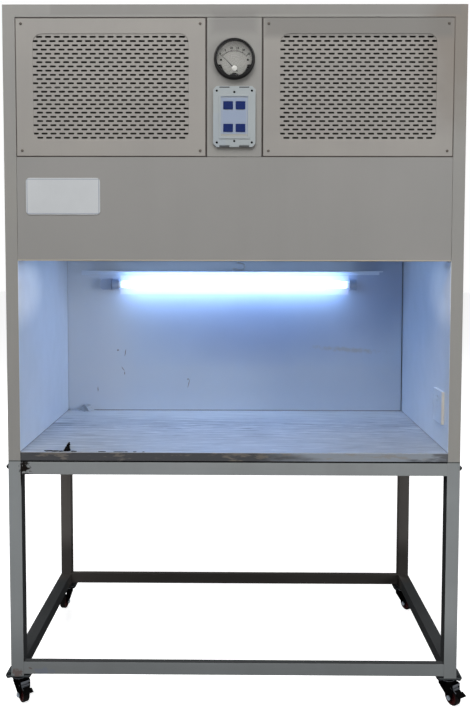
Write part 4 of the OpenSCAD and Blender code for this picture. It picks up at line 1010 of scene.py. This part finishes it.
pull = node(slots, "GeometryNodeExtrudeMesh",
            {"Mesh": fill.outputs[0], "Offset Scale": start["Thickness"], "Individual": False})
under = node(slots, "GeometryNodeFlipFaces", {0: fill.outputs[0]})
both = join(slots, pull.outputs["Mesh"], under.outputs[0])
merged = node(slots, "GeometryNodeMergeByDistance", {0: both, "Distance": 1e-6})
close_tree(slots, merged.outputs[0], start, end)

# %% [markdown]
# The sheet lies flat when the tree makes it, so it is stood up behind the window. The folded panel
# around it comes from the same kind of filled outline, with four walls folded back.

# %% Helpers for the grille panels
GRILLE = {"x": 360.275, "z": BENCH + 1102.525, "w": 555.55, "h": 399.55, "window": (454, 308, 27)}
SKIN, DEPTH, FOLD_ANGLE = 1.2, 15.0, 1.2
SCREW_INSET, HOLE_RADIUS, HOLE_STEPS = 17.0, 2.3, 16
FACE_FRONT = Matrix.Rotation(math.radians(90), 4, "X")
FACE_BACK = Matrix.Rotation(math.radians(-90), 4, "X")


def stand_up(mesh, x, y, z, facing=FACE_FRONT):
    """Turns a flat mesh upright and moves it; lengths in millimetres."""
    mesh.transform(Matrix.Translation(metres(x, y, z)) @ facing)
    return mesh


def round_outline(w, h, r, steps=8):
    """Corner points of a rectangle with round corners, anticlockwise."""
    points = []
    for i, (sx, sz) in enumerate(((1, 1), (-1, 1), (-1, -1), (1, -1))):
        for k in range(steps + 1):
            a = math.radians(90 * i + 90 * k / steps)
            points.append((sx * (w / 2 - r) + r * math.cos(a), sz * (h / 2 - r) + r * math.sin(a)))
    return points


def panel_outlines(w, h):
    """The border, the window and the four screw holes of a grille panel."""
    loops = [[(-w / 2, -h / 2), (w / 2, -h / 2), (w / 2, h / 2), (-w / 2, h / 2)],
             round_outline(*GRILLE["window"])]
    for sx in (-1, 1):
        for sz in (-1, 1):
            hx, hz = sx * (w / 2 - SCREW_INSET), sz * (h / 2 - SCREW_INSET)
            turns = [math.tau * k / HOLE_STEPS for k in range(HOLE_STEPS)]
            loops.append([(hx + HOLE_RADIUS * math.cos(a), hz + HOLE_RADIUS * math.sin(a)) for a in turns])
    return loops


print("grille helpers ready")

# %% Grille panels


def grille_pan(side):
    """The folded panel with its window; side is -1 or 1."""
    bm = bmesh.new()
    w, h = GRILLE["w"], GRILLE["h"]
    cx, cz = side * GRILLE["x"], GRILLE["z"]
    edges = []
    for loop in panel_outlines(w, h):
        ring = [bm.verts.new(metres(cx + x, FRONT, cz + z)) for x, z in loop]
        edges += [bm.edges.new((a, b)) for a, b in zip(ring, ring[1:] + ring[:1])]
    bmesh.ops.triangle_fill(bm, edges=edges, use_dissolve=False, use_beauty=True, normal=(0, -1, 0))
    for face in bm.faces:
        if face.normal.y > 0:
            face.normal_flip()
    back = bmesh.ops.extrude_face_region(bm, geom=bm.faces[:])
    for v in [g for g in back["geom"] if isinstance(g, bmesh.types.BMVert)]:
        v.co.y += SKIN * MM
    bmesh.ops.recalc_face_normals(bm, faces=bm.faces)
    left, right, low, high = -w / 2, w / 2, -h / 2, h / 2
    for x0, x1, z0, z1 in ((left, left + SKIN, low, high), (right - SKIN, right, low, high),
                           (left + SKIN, right - SKIN, low, low + SKIN),
                           (left + SKIN, right - SKIN, high - SKIN, high)):
        for v in bmesh.ops.create_cube(bm, size=1)["verts"]:
            v.co = metres(cx + (x0 if v.co.x < 0 else x1), FRONT + (SKIN if v.co.y < 0 else DEPTH),
                          cz + (z0 if v.co.z < 0 else z1))
    sharp = [e for e in bm.edges if len(e.link_faces) == 2 and e.calc_face_angle(0) > FOLD_ANGLE
             and all(abs(v.co.y - FRONT * MM) < SAME_POINT for v in e.verts)]
    round_edges(bm, sharp, 0.5, clamp=False)
    return bm


for side, name in ((-1, "left_grille"), (1, "right_grille")):
    sheet = run_tree(slots, name + "_sheet", {"Material": finishes["grille_paint"].material})
    bm = grille_pan(side)
    bm.from_mesh(stand_up(sheet, side * GRILLE["x"], FRONT + SKIN + 1.0, GRILLE["z"]))
    mesh = to_mesh(bm, name + "_panel", 50)
    made = even_normals(mesh_piece(name + "_panel", mesh, "hood", "grille_paint", "grille_paint"))
    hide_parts(name)
    print(made.name, "faces", len(mesh.polygons))

# %% [markdown]
# ## Screws
# All the front panels are held by the same kind of round-headed screw with a cross slot. One screw is
# made from a dome with a cross cut out of it, and Geometry Nodes set a copy on the four corners of a
# rectangle. The same tree serves both grilles, the keypad and the rear panel.

# %% Tree: cross-headed screws on the corners of a rectangle
screws, start, end = new_geometry("Corner screws", [
    ("Columns", INT, 2), ("Rows", INT, 2), ("Span X", FLOAT, 0.5), ("Span Z", FLOAT, 0.35),
    ("Head Radius", FLOAT, 0.004), ("Head Height", FLOAT, 0.0026), ("Shank Radius", FLOAT, 0.0019),
    ("Shank Length", FLOAT, 0.012), ("Turn", FLOAT, 0.6),
])
radius, height = start["Head Radius"], start["Head Height"]
ball = node(screws, "GeometryNodeMeshUVSphere", {"Segments": 20, "Rings": 12, "Radius": 1.0})
head = node(screws, "GeometryNodeTransform",
            {0: ball.outputs[0], "Scale": vector(screws, X=radius, Y=radius, Z=height)})
arms = []
for wide, deep in ((1.1, 0.22), (0.22, 1.1)):
    extent = vector(screws, X=maths(screws, "MULTIPLY", radius, wide),
                    Y=maths(screws, "MULTIPLY", radius, deep), Z=height)
    bar = node(screws, "GeometryNodeMeshCube", {"Size": extent})
    arm = node(screws, "GeometryNodeTransform",
               {0: bar.outputs[0], "Translation": vector(screws, Z=height)})
    arms.append(arm.outputs[0])
cross = node(screws, "GeometryNodeMeshBoolean", {0: head.outputs[0], 1: join(screws, *arms)},
             operation="DIFFERENCE")
shank = node(screws, "GeometryNodeMeshCylinder",
             {"Vertices": 12, "Radius": start["Shank Radius"], "Depth": start["Shank Length"]})
half_down = maths(screws, "MULTIPLY", start["Shank Length"], -0.5)
lowered = node(screws, "GeometryNodeTransform",
               {0: shank.outputs[0], "Translation": vector(screws, Z=half_down)})
one = join(screws, cross.outputs[0], lowered.outputs[0])
corners = node(screws, "GeometryNodeMeshGrid", {
    "Vertices X": start["Columns"], "Vertices Y": start["Rows"],
    "Size X": start["Span X"], "Size Y": start["Span Z"]})
number = node(screws, "GeometryNodeInputIndex").outputs[0]
spun = vector(screws, Z=maths(screws, "MULTIPLY", number, start["Turn"]))
copies = node(screws, "GeometryNodeInstanceOnPoints",
              {"Points": corners.outputs[0], "Instance": one, "Rotation": spun})
close_tree(screws, copies.outputs[0], start, end)

# %% Screws of the grilles and the keypad


def screw_set(x, y, z, values, look, facing=FACE_FRONT):
    """One run of the screw tree, stood up and placed; lengths in millimetres."""
    mesh = run_tree(screws, "screws", {**values, "Material": finishes[look].material})
    return stand_up(mesh, x, y, z, facing)


def join_meshes(name, meshes):
    """One mesh from several, which are removed; the faces keep their order."""
    bm = bmesh.new()
    for mesh in meshes:
        bm.from_mesh(mesh)
        bpy.data.meshes.remove(mesh)
    return to_mesh(bm, name, 40)


KEYPAD_FACE = FRONT - 5.2
grille_span = {"Span X": (GRILLE["w"] - 2 * SCREW_INSET) * MM, "Span Z": (GRILLE["h"] - 2 * SCREW_INSET) * MM,
               "Shank Length": 0.014}
small = {"Head Radius": 0.0045, "Head Height": 0.0014, "Shank Radius": 0.0012, "Shank Length": 0.006}
four = {"Span X": 0.102, "Span Z": 0.149, **small}
two = {"Columns": 1, "Span X": 0.0, "Span Z": 0.141, **small}
sets = [screw_set(side * GRILLE["x"], FRONT, GRILLE["z"], grille_span, "blackened_screw") for side in (-1, 1)]
split = sum(len(m.polygons) for m in sets)
sets += [screw_set(0, KEYPAD_FACE, KEYPAD_Z, values, "screw_hole_black") for values in (four, two)]
heads = join_meshes("panel_screw_heads", sets)
piece = mesh_piece("panel_screw_heads", heads, "hood", "zinc_steel", "blackened_screw", "screw_hole_black")
for i, face in enumerate(heads.polygons):
    face.material_index = 0 if i < split else 1
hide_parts("panel_screws")
print("screws", len(heads.polygons), "faces")

# %% [markdown]
# ## The rear panel's screws
# The rear panel is held by a row of screws along each edge. The same tree lays them out, first as two
# columns and then as two rows.

# %% Screws of the rear panel
REAR_MIDDLE = BENCH + 669
rear_head = {"Head Radius": 0.004, "Head Height": 0.0022, "Shank Radius": 0.0018, "Shank Length": 0.003}
layouts = [{"Columns": 2, "Rows": 7, "Span X": 1.31}, {"Columns": 5, "Rows": 2, "Span X": 0.87}]
rows = [screw_set(0, BACK, REAR_MIDDLE, {**layout, "Span Z": 1.30, **rear_head}, "zinc_plate", FACE_BACK)
        for layout in layouts]
rear_screws = join_meshes("rear_panel_screws", rows)
mesh_piece("rear_panel_screws", rear_screws, "hood", "zinc_steel", "zinc_plate")
print("rear screws", sum(layout["Columns"] * layout["Rows"] for layout in layouts))

# %% [markdown]
# ## The gauge's face
# The dial is printed with a scale of even ticks over a quarter turn, plain numbers and two thin lines.
# The ticks follow a rule, so Geometry Nodes set them on an arc. The numbers are text, made into meshes
# a tenth of a millimetre thick, which lie on the dial under the pointer.

# %% Tree: ticks on an arc
ticks, start, end = new_geometry("Scale ticks", [
    ("Count", INT, 26), ("Start Angle", FLOAT, 0.0), ("Sweep", FLOAT, 1.57), ("Radius", FLOAT, 0.0515),
    ("Length", FLOAT, 0.003), ("Width", FLOAT, 0.0006), ("Thickness", FLOAT, 0.0001),
])
line = node(ticks, "GeometryNodeMeshLine", {"Count": start["Count"]})
number = node(ticks, "GeometryNodeInputIndex").outputs[0]
share = maths(ticks, "DIVIDE", number, maths(ticks, "SUBTRACT", start["Count"], 1.0))
angle = maths(ticks, "SUBTRACT", start["Start Angle"], maths(ticks, "MULTIPLY", share, start["Sweep"]))
on_arc = vector(ticks, X=maths(ticks, "MULTIPLY", maths(ticks, "COSINE", angle), start["Radius"]),
                Y=maths(ticks, "MULTIPLY", maths(ticks, "SINE", angle), start["Radius"]))
moved = node(ticks, "GeometryNodeSetPosition", {0: line.outputs[0], "Position": on_arc})
extent = vector(ticks, X=start["Length"], Y=start["Width"], Z=start["Thickness"])
stroke = node(ticks, "GeometryNodeMeshCube", {"Size": extent})
copies = node(ticks, "GeometryNodeInstanceOnPoints", {
    "Points": moved.outputs[0], "Instance": stroke.outputs[0], "Rotation": vector(ticks, Z=angle)})
close_tree(ticks, copies.outputs[0], start, end)

# %% Ticks and lines
GAUGE_Z = BENCH + 1184.0
PIVOT_Z = GAUGE_Z - 26.5
DIAL_Y = -327.0
PRINT_Y, PRINT_THICK = DIAL_Y - 0.05, 0.1
LOW, SWEEP = math.radians(135), math.radians(90)
prints = []
for count, radius, length, width in ((26, 51.5, 3.4, 0.8), (6, 51.0, 5.4, 1.3), (91, 49.6, 0.7, 1.1)):
    marks = run_tree(ticks, "ticks", {
        "Count": count, "Start Angle": LOW, "Sweep": SWEEP, "Radius": radius * MM, "Length": length * MM,
        "Width": width * MM, "Thickness": PRINT_THICK * MM, "Material": finishes["print_black"].material})
    prints.append(stand_up(marks, 0, PRINT_Y, PIVOT_Z))
print("tick faces", sum(len(m.polygons) for m in prints))

# %% Numbers
NUMBER_RADIUS, NUMBER_SIZE, NUMBER_WEIGHT = 58.5, 8.4, 0.3
NUMBERS = (0, 5, 10, 15, 20, 25)
for i, value in enumerate(NUMBERS):
    number = bpy.data.curves.new(f"number_{i}", "FONT")
    number.body = str(value)
    number.size = NUMBER_SIZE * MM
    number.offset = NUMBER_WEIGHT * MM
    number.extrude = PRINT_THICK / 2 * MM
    number.align_x = number.align_y = "CENTER"
    letters = as_mesh(add_object(f"number_{i}", number), f"number_{i}")
    a = LOW - SWEEP * i / (len(NUMBERS) - 1)
    across, above = NUMBER_RADIUS * math.cos(a), NUMBER_RADIUS * math.sin(a)
    prints.append(stand_up(letters, across, PRINT_Y, PIVOT_Z + above))
scale_marks = join_meshes("dial_print", prints)
mesh_piece("dial_print", scale_marks, "hood", "dial_white", "print_black")
print("dial print faces", len(scale_marks.polygons))

# %% [markdown]
# The dial's upper field has a tone of its own, a hair paler and more even than the rest. Two
# small screws hold it, and a pale cap covers the pivot. Both are turned parts, spun from a profile.

# %% Dial tones and a helper for turned parts
finishes["dial_enamel"].strip((0, DIAL_Y, GAUGE_Z + 36), (60, 3, 52), 0.6, tone(140, 137, 132), 0.6)


def lathe(name, profile, steps, axis_y, x, z):
    """A turned part: profile is (radius, depth towards the front) in mm, round an axis along Y."""
    bm = bmesh.new()
    rings = []
    for r, d in profile:
        turns = [math.tau * k / steps for k in range(steps if r else 1)]
        rings.append([bm.verts.new(metres(x + r * math.cos(a), axis_y - d, z + r * math.sin(a)))
                      for a in turns])
    for a, b in zip(rings, rings[1:]):
        for k in range(steps):
            n = (k + 1) % steps
            face = [a[k % len(a)], a[n % len(a)], b[n % len(b)], b[k % len(b)]]
            bm.faces.new(list(dict.fromkeys(face)))
    bmesh.ops.recalc_face_normals(bm, faces=bm.faces)
    return to_mesh(bm, name, 40)


print("lathe ready")

# %% Dial screws and hub
dome = [(0, -0.2), (3.0, -0.2), (3.0, 0.35), (2.2, 0.65), (0, 0.7)]
pair = [lathe("dial_screw", dome, 20, DIAL_Y, x, GAUGE_Z - 2) for x in (-39, 39)]
dial_screws = join_meshes("dial_screws", pair)
mesh_piece("dial_screws", dial_screws, "hood", "black_plastic", "print_black")
cap = [(0, 0), (7.7, 0), (7.9, 0.4), (7.4, 1.0), (5.2, 1.5), (0, 1.7)]
hub = lathe("pointer_hub", cap, 40, DIAL_Y - 1.45, 0, PIVOT_Z)
mesh_piece("pointer_hub", hub, "pointer", "dial_white", "hub_pale")
print("hub front at", round(min(v.co.y for v in hub.vertices), 5))

# %% [markdown]
# ## Caster wheels
# A caster wheel is turned: a maroon plastic rim with a recessed web and a wide hub, and a black rubber
# tread moulded round it. The profile is spun round the axle. The rubber is its own set of faces with
# the rubber finish, and six webs on each side stiffen the rim.

# %% Wheel helpers
CASTERS = {"front_left": (-656, -301, 39), "front_right": (656, -301, 29),
           "rear_left": (-656, 301, -10), "rear_right": (656, 301, 30)}
TRAIL, WHEEL_R, STEPS = 24.0, 25.0, 72
WEBS, WEB_SIZE, WEB_PLACE = 6, (2.4, 2.2, 8.2), (7.3, 0, 12.5)


def caster_place(name):
    """From a caster drawn at its swivel axis, trailing towards -Y, to its place."""
    x, y, angle = CASTERS[name]
    return Matrix.Translation(metres(x, y, 0)) @ Matrix.Rotation(math.radians(angle), 4, "Z")


def spin(bm, profile, index):
    """Spins a closed outline of (along, radius) points round the wheel's axle."""
    turns = [math.tau * k / STEPS for k in range(STEPS)]
    rings = [[bm.verts.new(metres(u, r * math.cos(a) - TRAIL, r * math.sin(a) + WHEEL_R)) for a in turns]
             for u, r in profile]
    for a, b in zip(rings, rings[1:] + rings[:1]):
        for k in range(STEPS):
            n = (k + 1) % STEPS
            bm.faces.new((a[k], b[k], b[n], a[n])).material_index = index


def webs(bm):
    """The webs between the wheel's hub and its rim, on both sides."""
    axle = Matrix.Translation(metres(0, -TRAIL, WHEEL_R))
    scale = Matrix.Diagonal((*metres(*WEB_SIZE), 1))
    for k in range(WEBS):
        for side in (-1, 1):
            web = bmesh.ops.create_cube(bm, size=1)
            turn = Matrix.Rotation(math.tau * k / WEBS, 4, "X")
            where = Matrix.Translation(metres(side * WEB_PLACE[0], *WEB_PLACE[1:]))
            bmesh.ops.transform(bm, matrix=axle @ turn @ where @ scale, verts=web["verts"])


print("wheel helpers ready")

# %% Wheels
rim = [(-12.4, 4.05), (-12.4, 8), (-7, 8.4), (-6.2, 9.2), (-6.2, 16.2), (-7.2, 17.4), (-9.4, 18),
       (-9.9, 18.6), (-9.9, 20.4), (9.9, 20.4), (9.9, 18.6), (9.4, 18), (7.2, 17.4), (6.2, 16.2),
       (6.2, 9.2), (7, 8.4), (12.4, 8), (12.4, 4.05)]
tread = [(-9.9, 20.4), (-9.9, 21.4), (-9.3, 23.2), (-8.0, 24.4), (-6.2, 24.9), (-2.6, 25), (-2.2, 24.6),
         (2.2, 24.6), (2.6, 25), (6.2, 24.9), (8.0, 24.4), (9.3, 23.2), (9.9, 21.4), (9.9, 20.4)]
for name in CASTERS:
    bm = bmesh.new()
    spin(bm, rim, 0)
    spin(bm, tread, 1)
    webs(bm)
    bmesh.ops.transform(bm, matrix=caster_place(name), verts=bm.verts)
    bmesh.ops.recalc_face_normals(bm, faces=bm.faces)
    mesh = to_mesh(bm, name + "_tyre", 40)
    made = mesh_piece(name + "_tyre", mesh, name + "_roller", "wheel_rubber", "rim_maroon", "tyre_rubber")
    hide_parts(name + "_wheel")
print("wheels", len(CASTERS), "radius", WHEEL_R)

# %% [markdown]
# ## Swivel rings, fork sheets and springs
# Between the fixed plate and the fork runs a ring of balls, closed by a pressed steel ring. A dust ring
# with a lip lies under it, on the fork. Under its crown a black sheet joins the fork's cheeks, and each
# brake has a zinc spring strip under its pedal.

# %% Swivel rings
RING_STEPS = 48
RACES = ((FOOT - 9.8, FOOT - 8.6, 20.5, 24.9), (FOOT - 5.1, FOOT - 3.7, 19.0, 24.6))


def flat_ring(bm, bottom, top, inner, outer):
    """A ring of rectangular section round the swivel axis."""
    turns = [math.tau * k / RING_STEPS for k in range(RING_STEPS)]
    corners = ((inner, bottom), (outer, bottom), (outer, top), (inner, top))
    rings = [[bm.verts.new(metres(r * math.cos(a), r * math.sin(a), z)) for a in turns] for r, z in corners]
    for a, b in zip(rings, rings[1:] + rings[:1]):
        for k in range(RING_STEPS):
            n = (k + 1) % RING_STEPS
            bm.faces.new((a[k], a[n], b[n], b[k]))


for name in CASTERS:
    bm = bmesh.new()
    for race in RACES:
        flat_ring(bm, *race)
    bmesh.ops.recalc_face_normals(bm, faces=bm.faces)
    bmesh.ops.transform(bm, matrix=caster_place(name), verts=bm.verts)
    mesh = to_mesh(bm, name + "_race", 40)
    mesh_piece(name + "_race", mesh, name + "_caster", "zinc_steel", "grimy_zinc")
print("races", len(CASTERS))

# %% Springs and fork sheets


def block(name, part, centre, size, slot, look):
    """A block on a caster; centre and size in millimetres, in the caster's own frame."""
    bm = bmesh.new()
    bmesh.ops.create_cube(bm, size=1)
    where = Matrix.Translation(metres(*centre))
    scale = Matrix.Diagonal((*metres(*size), 1))
    bmesh.ops.transform(bm, matrix=caster_place(name) @ where @ scale, verts=bm.verts)
    mesh_piece(f"{name}_{part}", to_mesh(bm, f"{name}_{part}"), name + "_caster", slot, look)


BRAKED = ("front_left", "front_right")
for name in BRAKED:
    block(name, "spring", (0, -37.1, 65.5), (28, 1.2, 5.5), "zinc_steel", "grimy_zinc")
for name in CASTERS:
    block(name, "sheet", (0, -2, 59), (24, 20, 14), "black_steel", "black_steel")
print("springs", len(BRAKED), "sheets", len(CASTERS))

# %% [markdown]
# ## Brake pedals
# The pedal is a zinc-plated lever with a black rubber foot. The CAD solid has the right shape, so only
# the faces of the foot take another finish: those far from the pivot.

# %% Pedal feet
FOOT_START, FOOT_SIDE = -0.0475, 0.0135
for side in ("left", "right"):
    made = bpy.data.objects[side + "_brake_pedal_soft"]
    made.data.materials.clear()
    for look in ("grimy_zinc", "black_steel"):
        made.data.materials.append(finishes[look].material)
    back = caster_place("front_" + side).inverted()
    feet = 0
    for face in made.data.polygons:
        local = back @ face.center
        if local.y < FOOT_START or abs(local.x) > FOOT_SIDE:
            face.material_index = 1
            feet += 1
    print(made.name, "foot faces", feet)

# %% [markdown]
# ## Marks of use
# A used bench has its own history: a scorched patch where the stand was welded, brown scratches on the
# rear sheet, a rusty smudge at the foot of a leg, dark glue along the front edge and a shred of black
# tape. Marks that are only colour go into the finishes; what stands up is a mesh.

# %% Colour marks
RUST = tone(112, 92, 86)
SOOT = tone(34, 30, 28)
stand.mark((-624, FRONT, BENCH - 20), (14, 6, 22), SOOT, 1.0, ragged=1.0, detail=110, Roughness=0.7)
stand.mark((-622, FRONT, BENCH - 41.0), (16, 5, 2.8), SOOT, 0.95, ragged=0.4, detail=160, Roughness=0.6)
stand.mark((-636.4, FRONT, BENCH - 30), (2.4, 8, 56), SOOT, 1.0, ragged=0.3, detail=90, Roughness=0.6)
stand.mark((-656, FRONT, FOOT + 13), (14, 6, 11), RUST, 0.75, ragged=0.8, detail=140)
stand.mark((-617, FRONT, FOOT + 27), (6, 4, 2), RUST, 0.7, turn=-25, ragged=0.5, detail=260)
stand.mark((-575, FRONT, FOOT + 18), (26, 5, 8), tone(124, 132, 150), 0.5, ragged=1.0, detail=60)
for x, z, w, h, lean in ((-447, 258, 3.0, 3.2, 0), (-419, 248, 1.6, 12, -8), (-428, 186, 1.4, 9, 35),
                         (-422, 170, 1.8, 5.0, 0), (-524.6, 108, 1.6, 8.5, 0), (-176, 132, 1.4, 17, -14),
                         (-179, 147, 2.8, 3.2, 0)):
    rear.mark((x, REAR_WALL, BENCH + z), (w, 4, h), BROWN, 0.8, turn=lean, ragged=0.5, detail=420, soft=0.4)
PLATE_Z = BENCH + 786.5
plate_ring = plate.ring((-502.8, FRONT - 1.5, PLATE_Z), (106.4, 3, 50.9), (104.9, 3, 49.4), 0.4)
plate.layer(plate_ring, tone(112, 124, 150), 0.8)
# Painted highlight: a pale line along the top fold of the lip.
steel.strip((0, FRONT, BENCH + 25.8), (641, 1.4, 1.3), 0.3, tone(146, 149, 156), 0.8)
print("colour marks done")

# %% [markdown]
# Tape residue lies along the front edge as thin torn flakes, and one shred of tape has curled up from
# it. Each flake is an irregular ring of points with a little thickness; a fixed seed keeps them the
# same each time.

# %% Tape helpers
rng = np.random.default_rng(7)
GAP, FLAKE_THICK, TAPE = 0.02, 1.4, 0.6


def flake(bm, x, y, w, d, thick, points=11):
    """A flat torn flake that lies on the work surface; sizes in millimetres."""
    turn = np.linspace(0, math.tau, points, endpoint=False)
    reach = rng.uniform(0.55, 1.0, points)
    outline = [(x + w / 2 * r * math.cos(a), y + d / 2 * r * math.sin(a)) for a, r in zip(turn, reach)]
    low = [bm.verts.new(metres(px, py, TABLE + GAP)) for px, py in outline]
    high = [bm.verts.new(metres(px, py, TABLE + thick)) for px, py in outline]
    bm.faces.new(high)
    bm.faces.new(low[::-1])
    for k in range(points):
        n = (k + 1) % points
        bm.faces.new((low[k], low[n], high[n], high[k]))


def shred(bm, x, y, width, height):
    """A torn strip of tape that stands up and leans; a folded sheet with two sides."""
    rows, cols = 9, 5
    rings = []
    for i in range(rows):
        t = i / (rows - 1)
        half = width / 2 * (1 - 0.75 * t ** 1.4) * rng.uniform(0.8, 1.1)
        row = []
        for j in range(cols):
            s = 2 * j / (cols - 1) - 1
            px = x + s * half + 7.5 * t ** 1.5 + rng.uniform(-0.5, 0.5)
            py = y + 3.0 * math.sin(2.2 * s + 3 * t) + 2.2 * t + rng.uniform(-0.4, 0.4)
            row.append((px, py, TABLE + 0.1 + height * t))
        rings.append(row)
    for offset, flip in ((0.0, False), (TAPE, True)):
        sheet = [[bm.verts.new(metres(px, py + offset, pz)) for px, py, pz in row] for row in rings]
        for a, b in zip(sheet, sheet[1:]):
            for k in range(cols - 1):
                quad = (a[k], a[k + 1], b[k + 1], b[k])
                bm.faces.new(quad[::-1] if flip else quad)
        rims = sheet[0] + [r[-1] for r in sheet[1:]] + sheet[-1][-2::-1] + [r[0] for r in sheet[-2:0:-1]]
        if not flip:
            first = rims
        else:
            for k in range(len(rims)):
                n = (k + 1) % len(rims)
                bm.faces.new((first[k], rims[k], rims[n], first[n]))


print("tape helpers ready")

# %% Tape residue
bm = bmesh.new()
for x, y, w, d in ((-558, -318, 30, 13), (-535, -320, 34, 12), (-518, -321, 20, 12), (-484, -321, 12, 10),
                   (-476, -323, 12, 8), (-394, -325, 30, 5), (-352, -326, 18, 4), (-338, -326, 22, 4),
                   (-322, -326, 14, 4), (-296, -326, 12, 4), (-270, -326, 8, 3), (-502, -316, 20, 13)):
    flake(bm, x, y, w, d, FLAKE_THICK)
shred(bm, -501, -320, 20, 27)
bmesh.ops.recalc_face_normals(bm, faces=bm.faces)
mesh = to_mesh(bm, "tape_residue")
mesh_piece("tape_residue", mesh, "hood", "black_plastic", "tape_residue")
print("tape residue faces", len(mesh.polygons))

# %% [markdown]
# At the back left corner the sealing film along the joint has come loose and bunched up. It is a strip
# of fine quads whose points are pushed about by a sum of waves, thicker where it bulges.

# %% Loose sealing film
plastic("sealing_film", tone(206, 212, 220), 0.4, tone(150, 160, 176), amount=0.6)
FILM_START, FILM_LENGTH = -634, 96
cols, rows = 48, 10
bm = bmesh.new()
grid = []
for i in range(cols + 1):
    t = i / cols
    x = FILM_START + FILM_LENGTH * t
    bulge = (6 + 15 * math.exp(-((t - 0.72) / 0.2) ** 2)) * min(1.0, 5 * (1 - t)) ** 0.5
    row = []
    for j in range(rows + 1):
        a = math.pi / 2 * j / rows
        wave = 1 + 0.28 * math.sin(23 * t + 5 * a) + 0.2 * math.sin(51 * t - 7 * a) + 0.1 * math.sin(97 * t)
        reach = bulge * wave
        row.append(bm.verts.new(metres(x, REAR_WALL - 0.4 - reach * math.cos(a),
                                       TABLE + 0.1 + reach * math.sin(a))))
    grid.append(row)
for a, b in zip(grid, grid[1:]):
    for k in range(rows):
        bm.faces.new((a[k], b[k], b[k + 1], a[k + 1]))
bmesh.ops.recalc_face_normals(bm, faces=bm.faces)
mesh = to_mesh(bm, "sealing_film", 60)
made = mesh_piece("sealing_film", mesh, "hood", "white_plastic", "sealing_film")
wall = made.modifiers.new("thickness", "SOLIDIFY")
wall.thickness = 0.0004
wall.offset = -1
print("film", len(mesh.polygons), "faces")
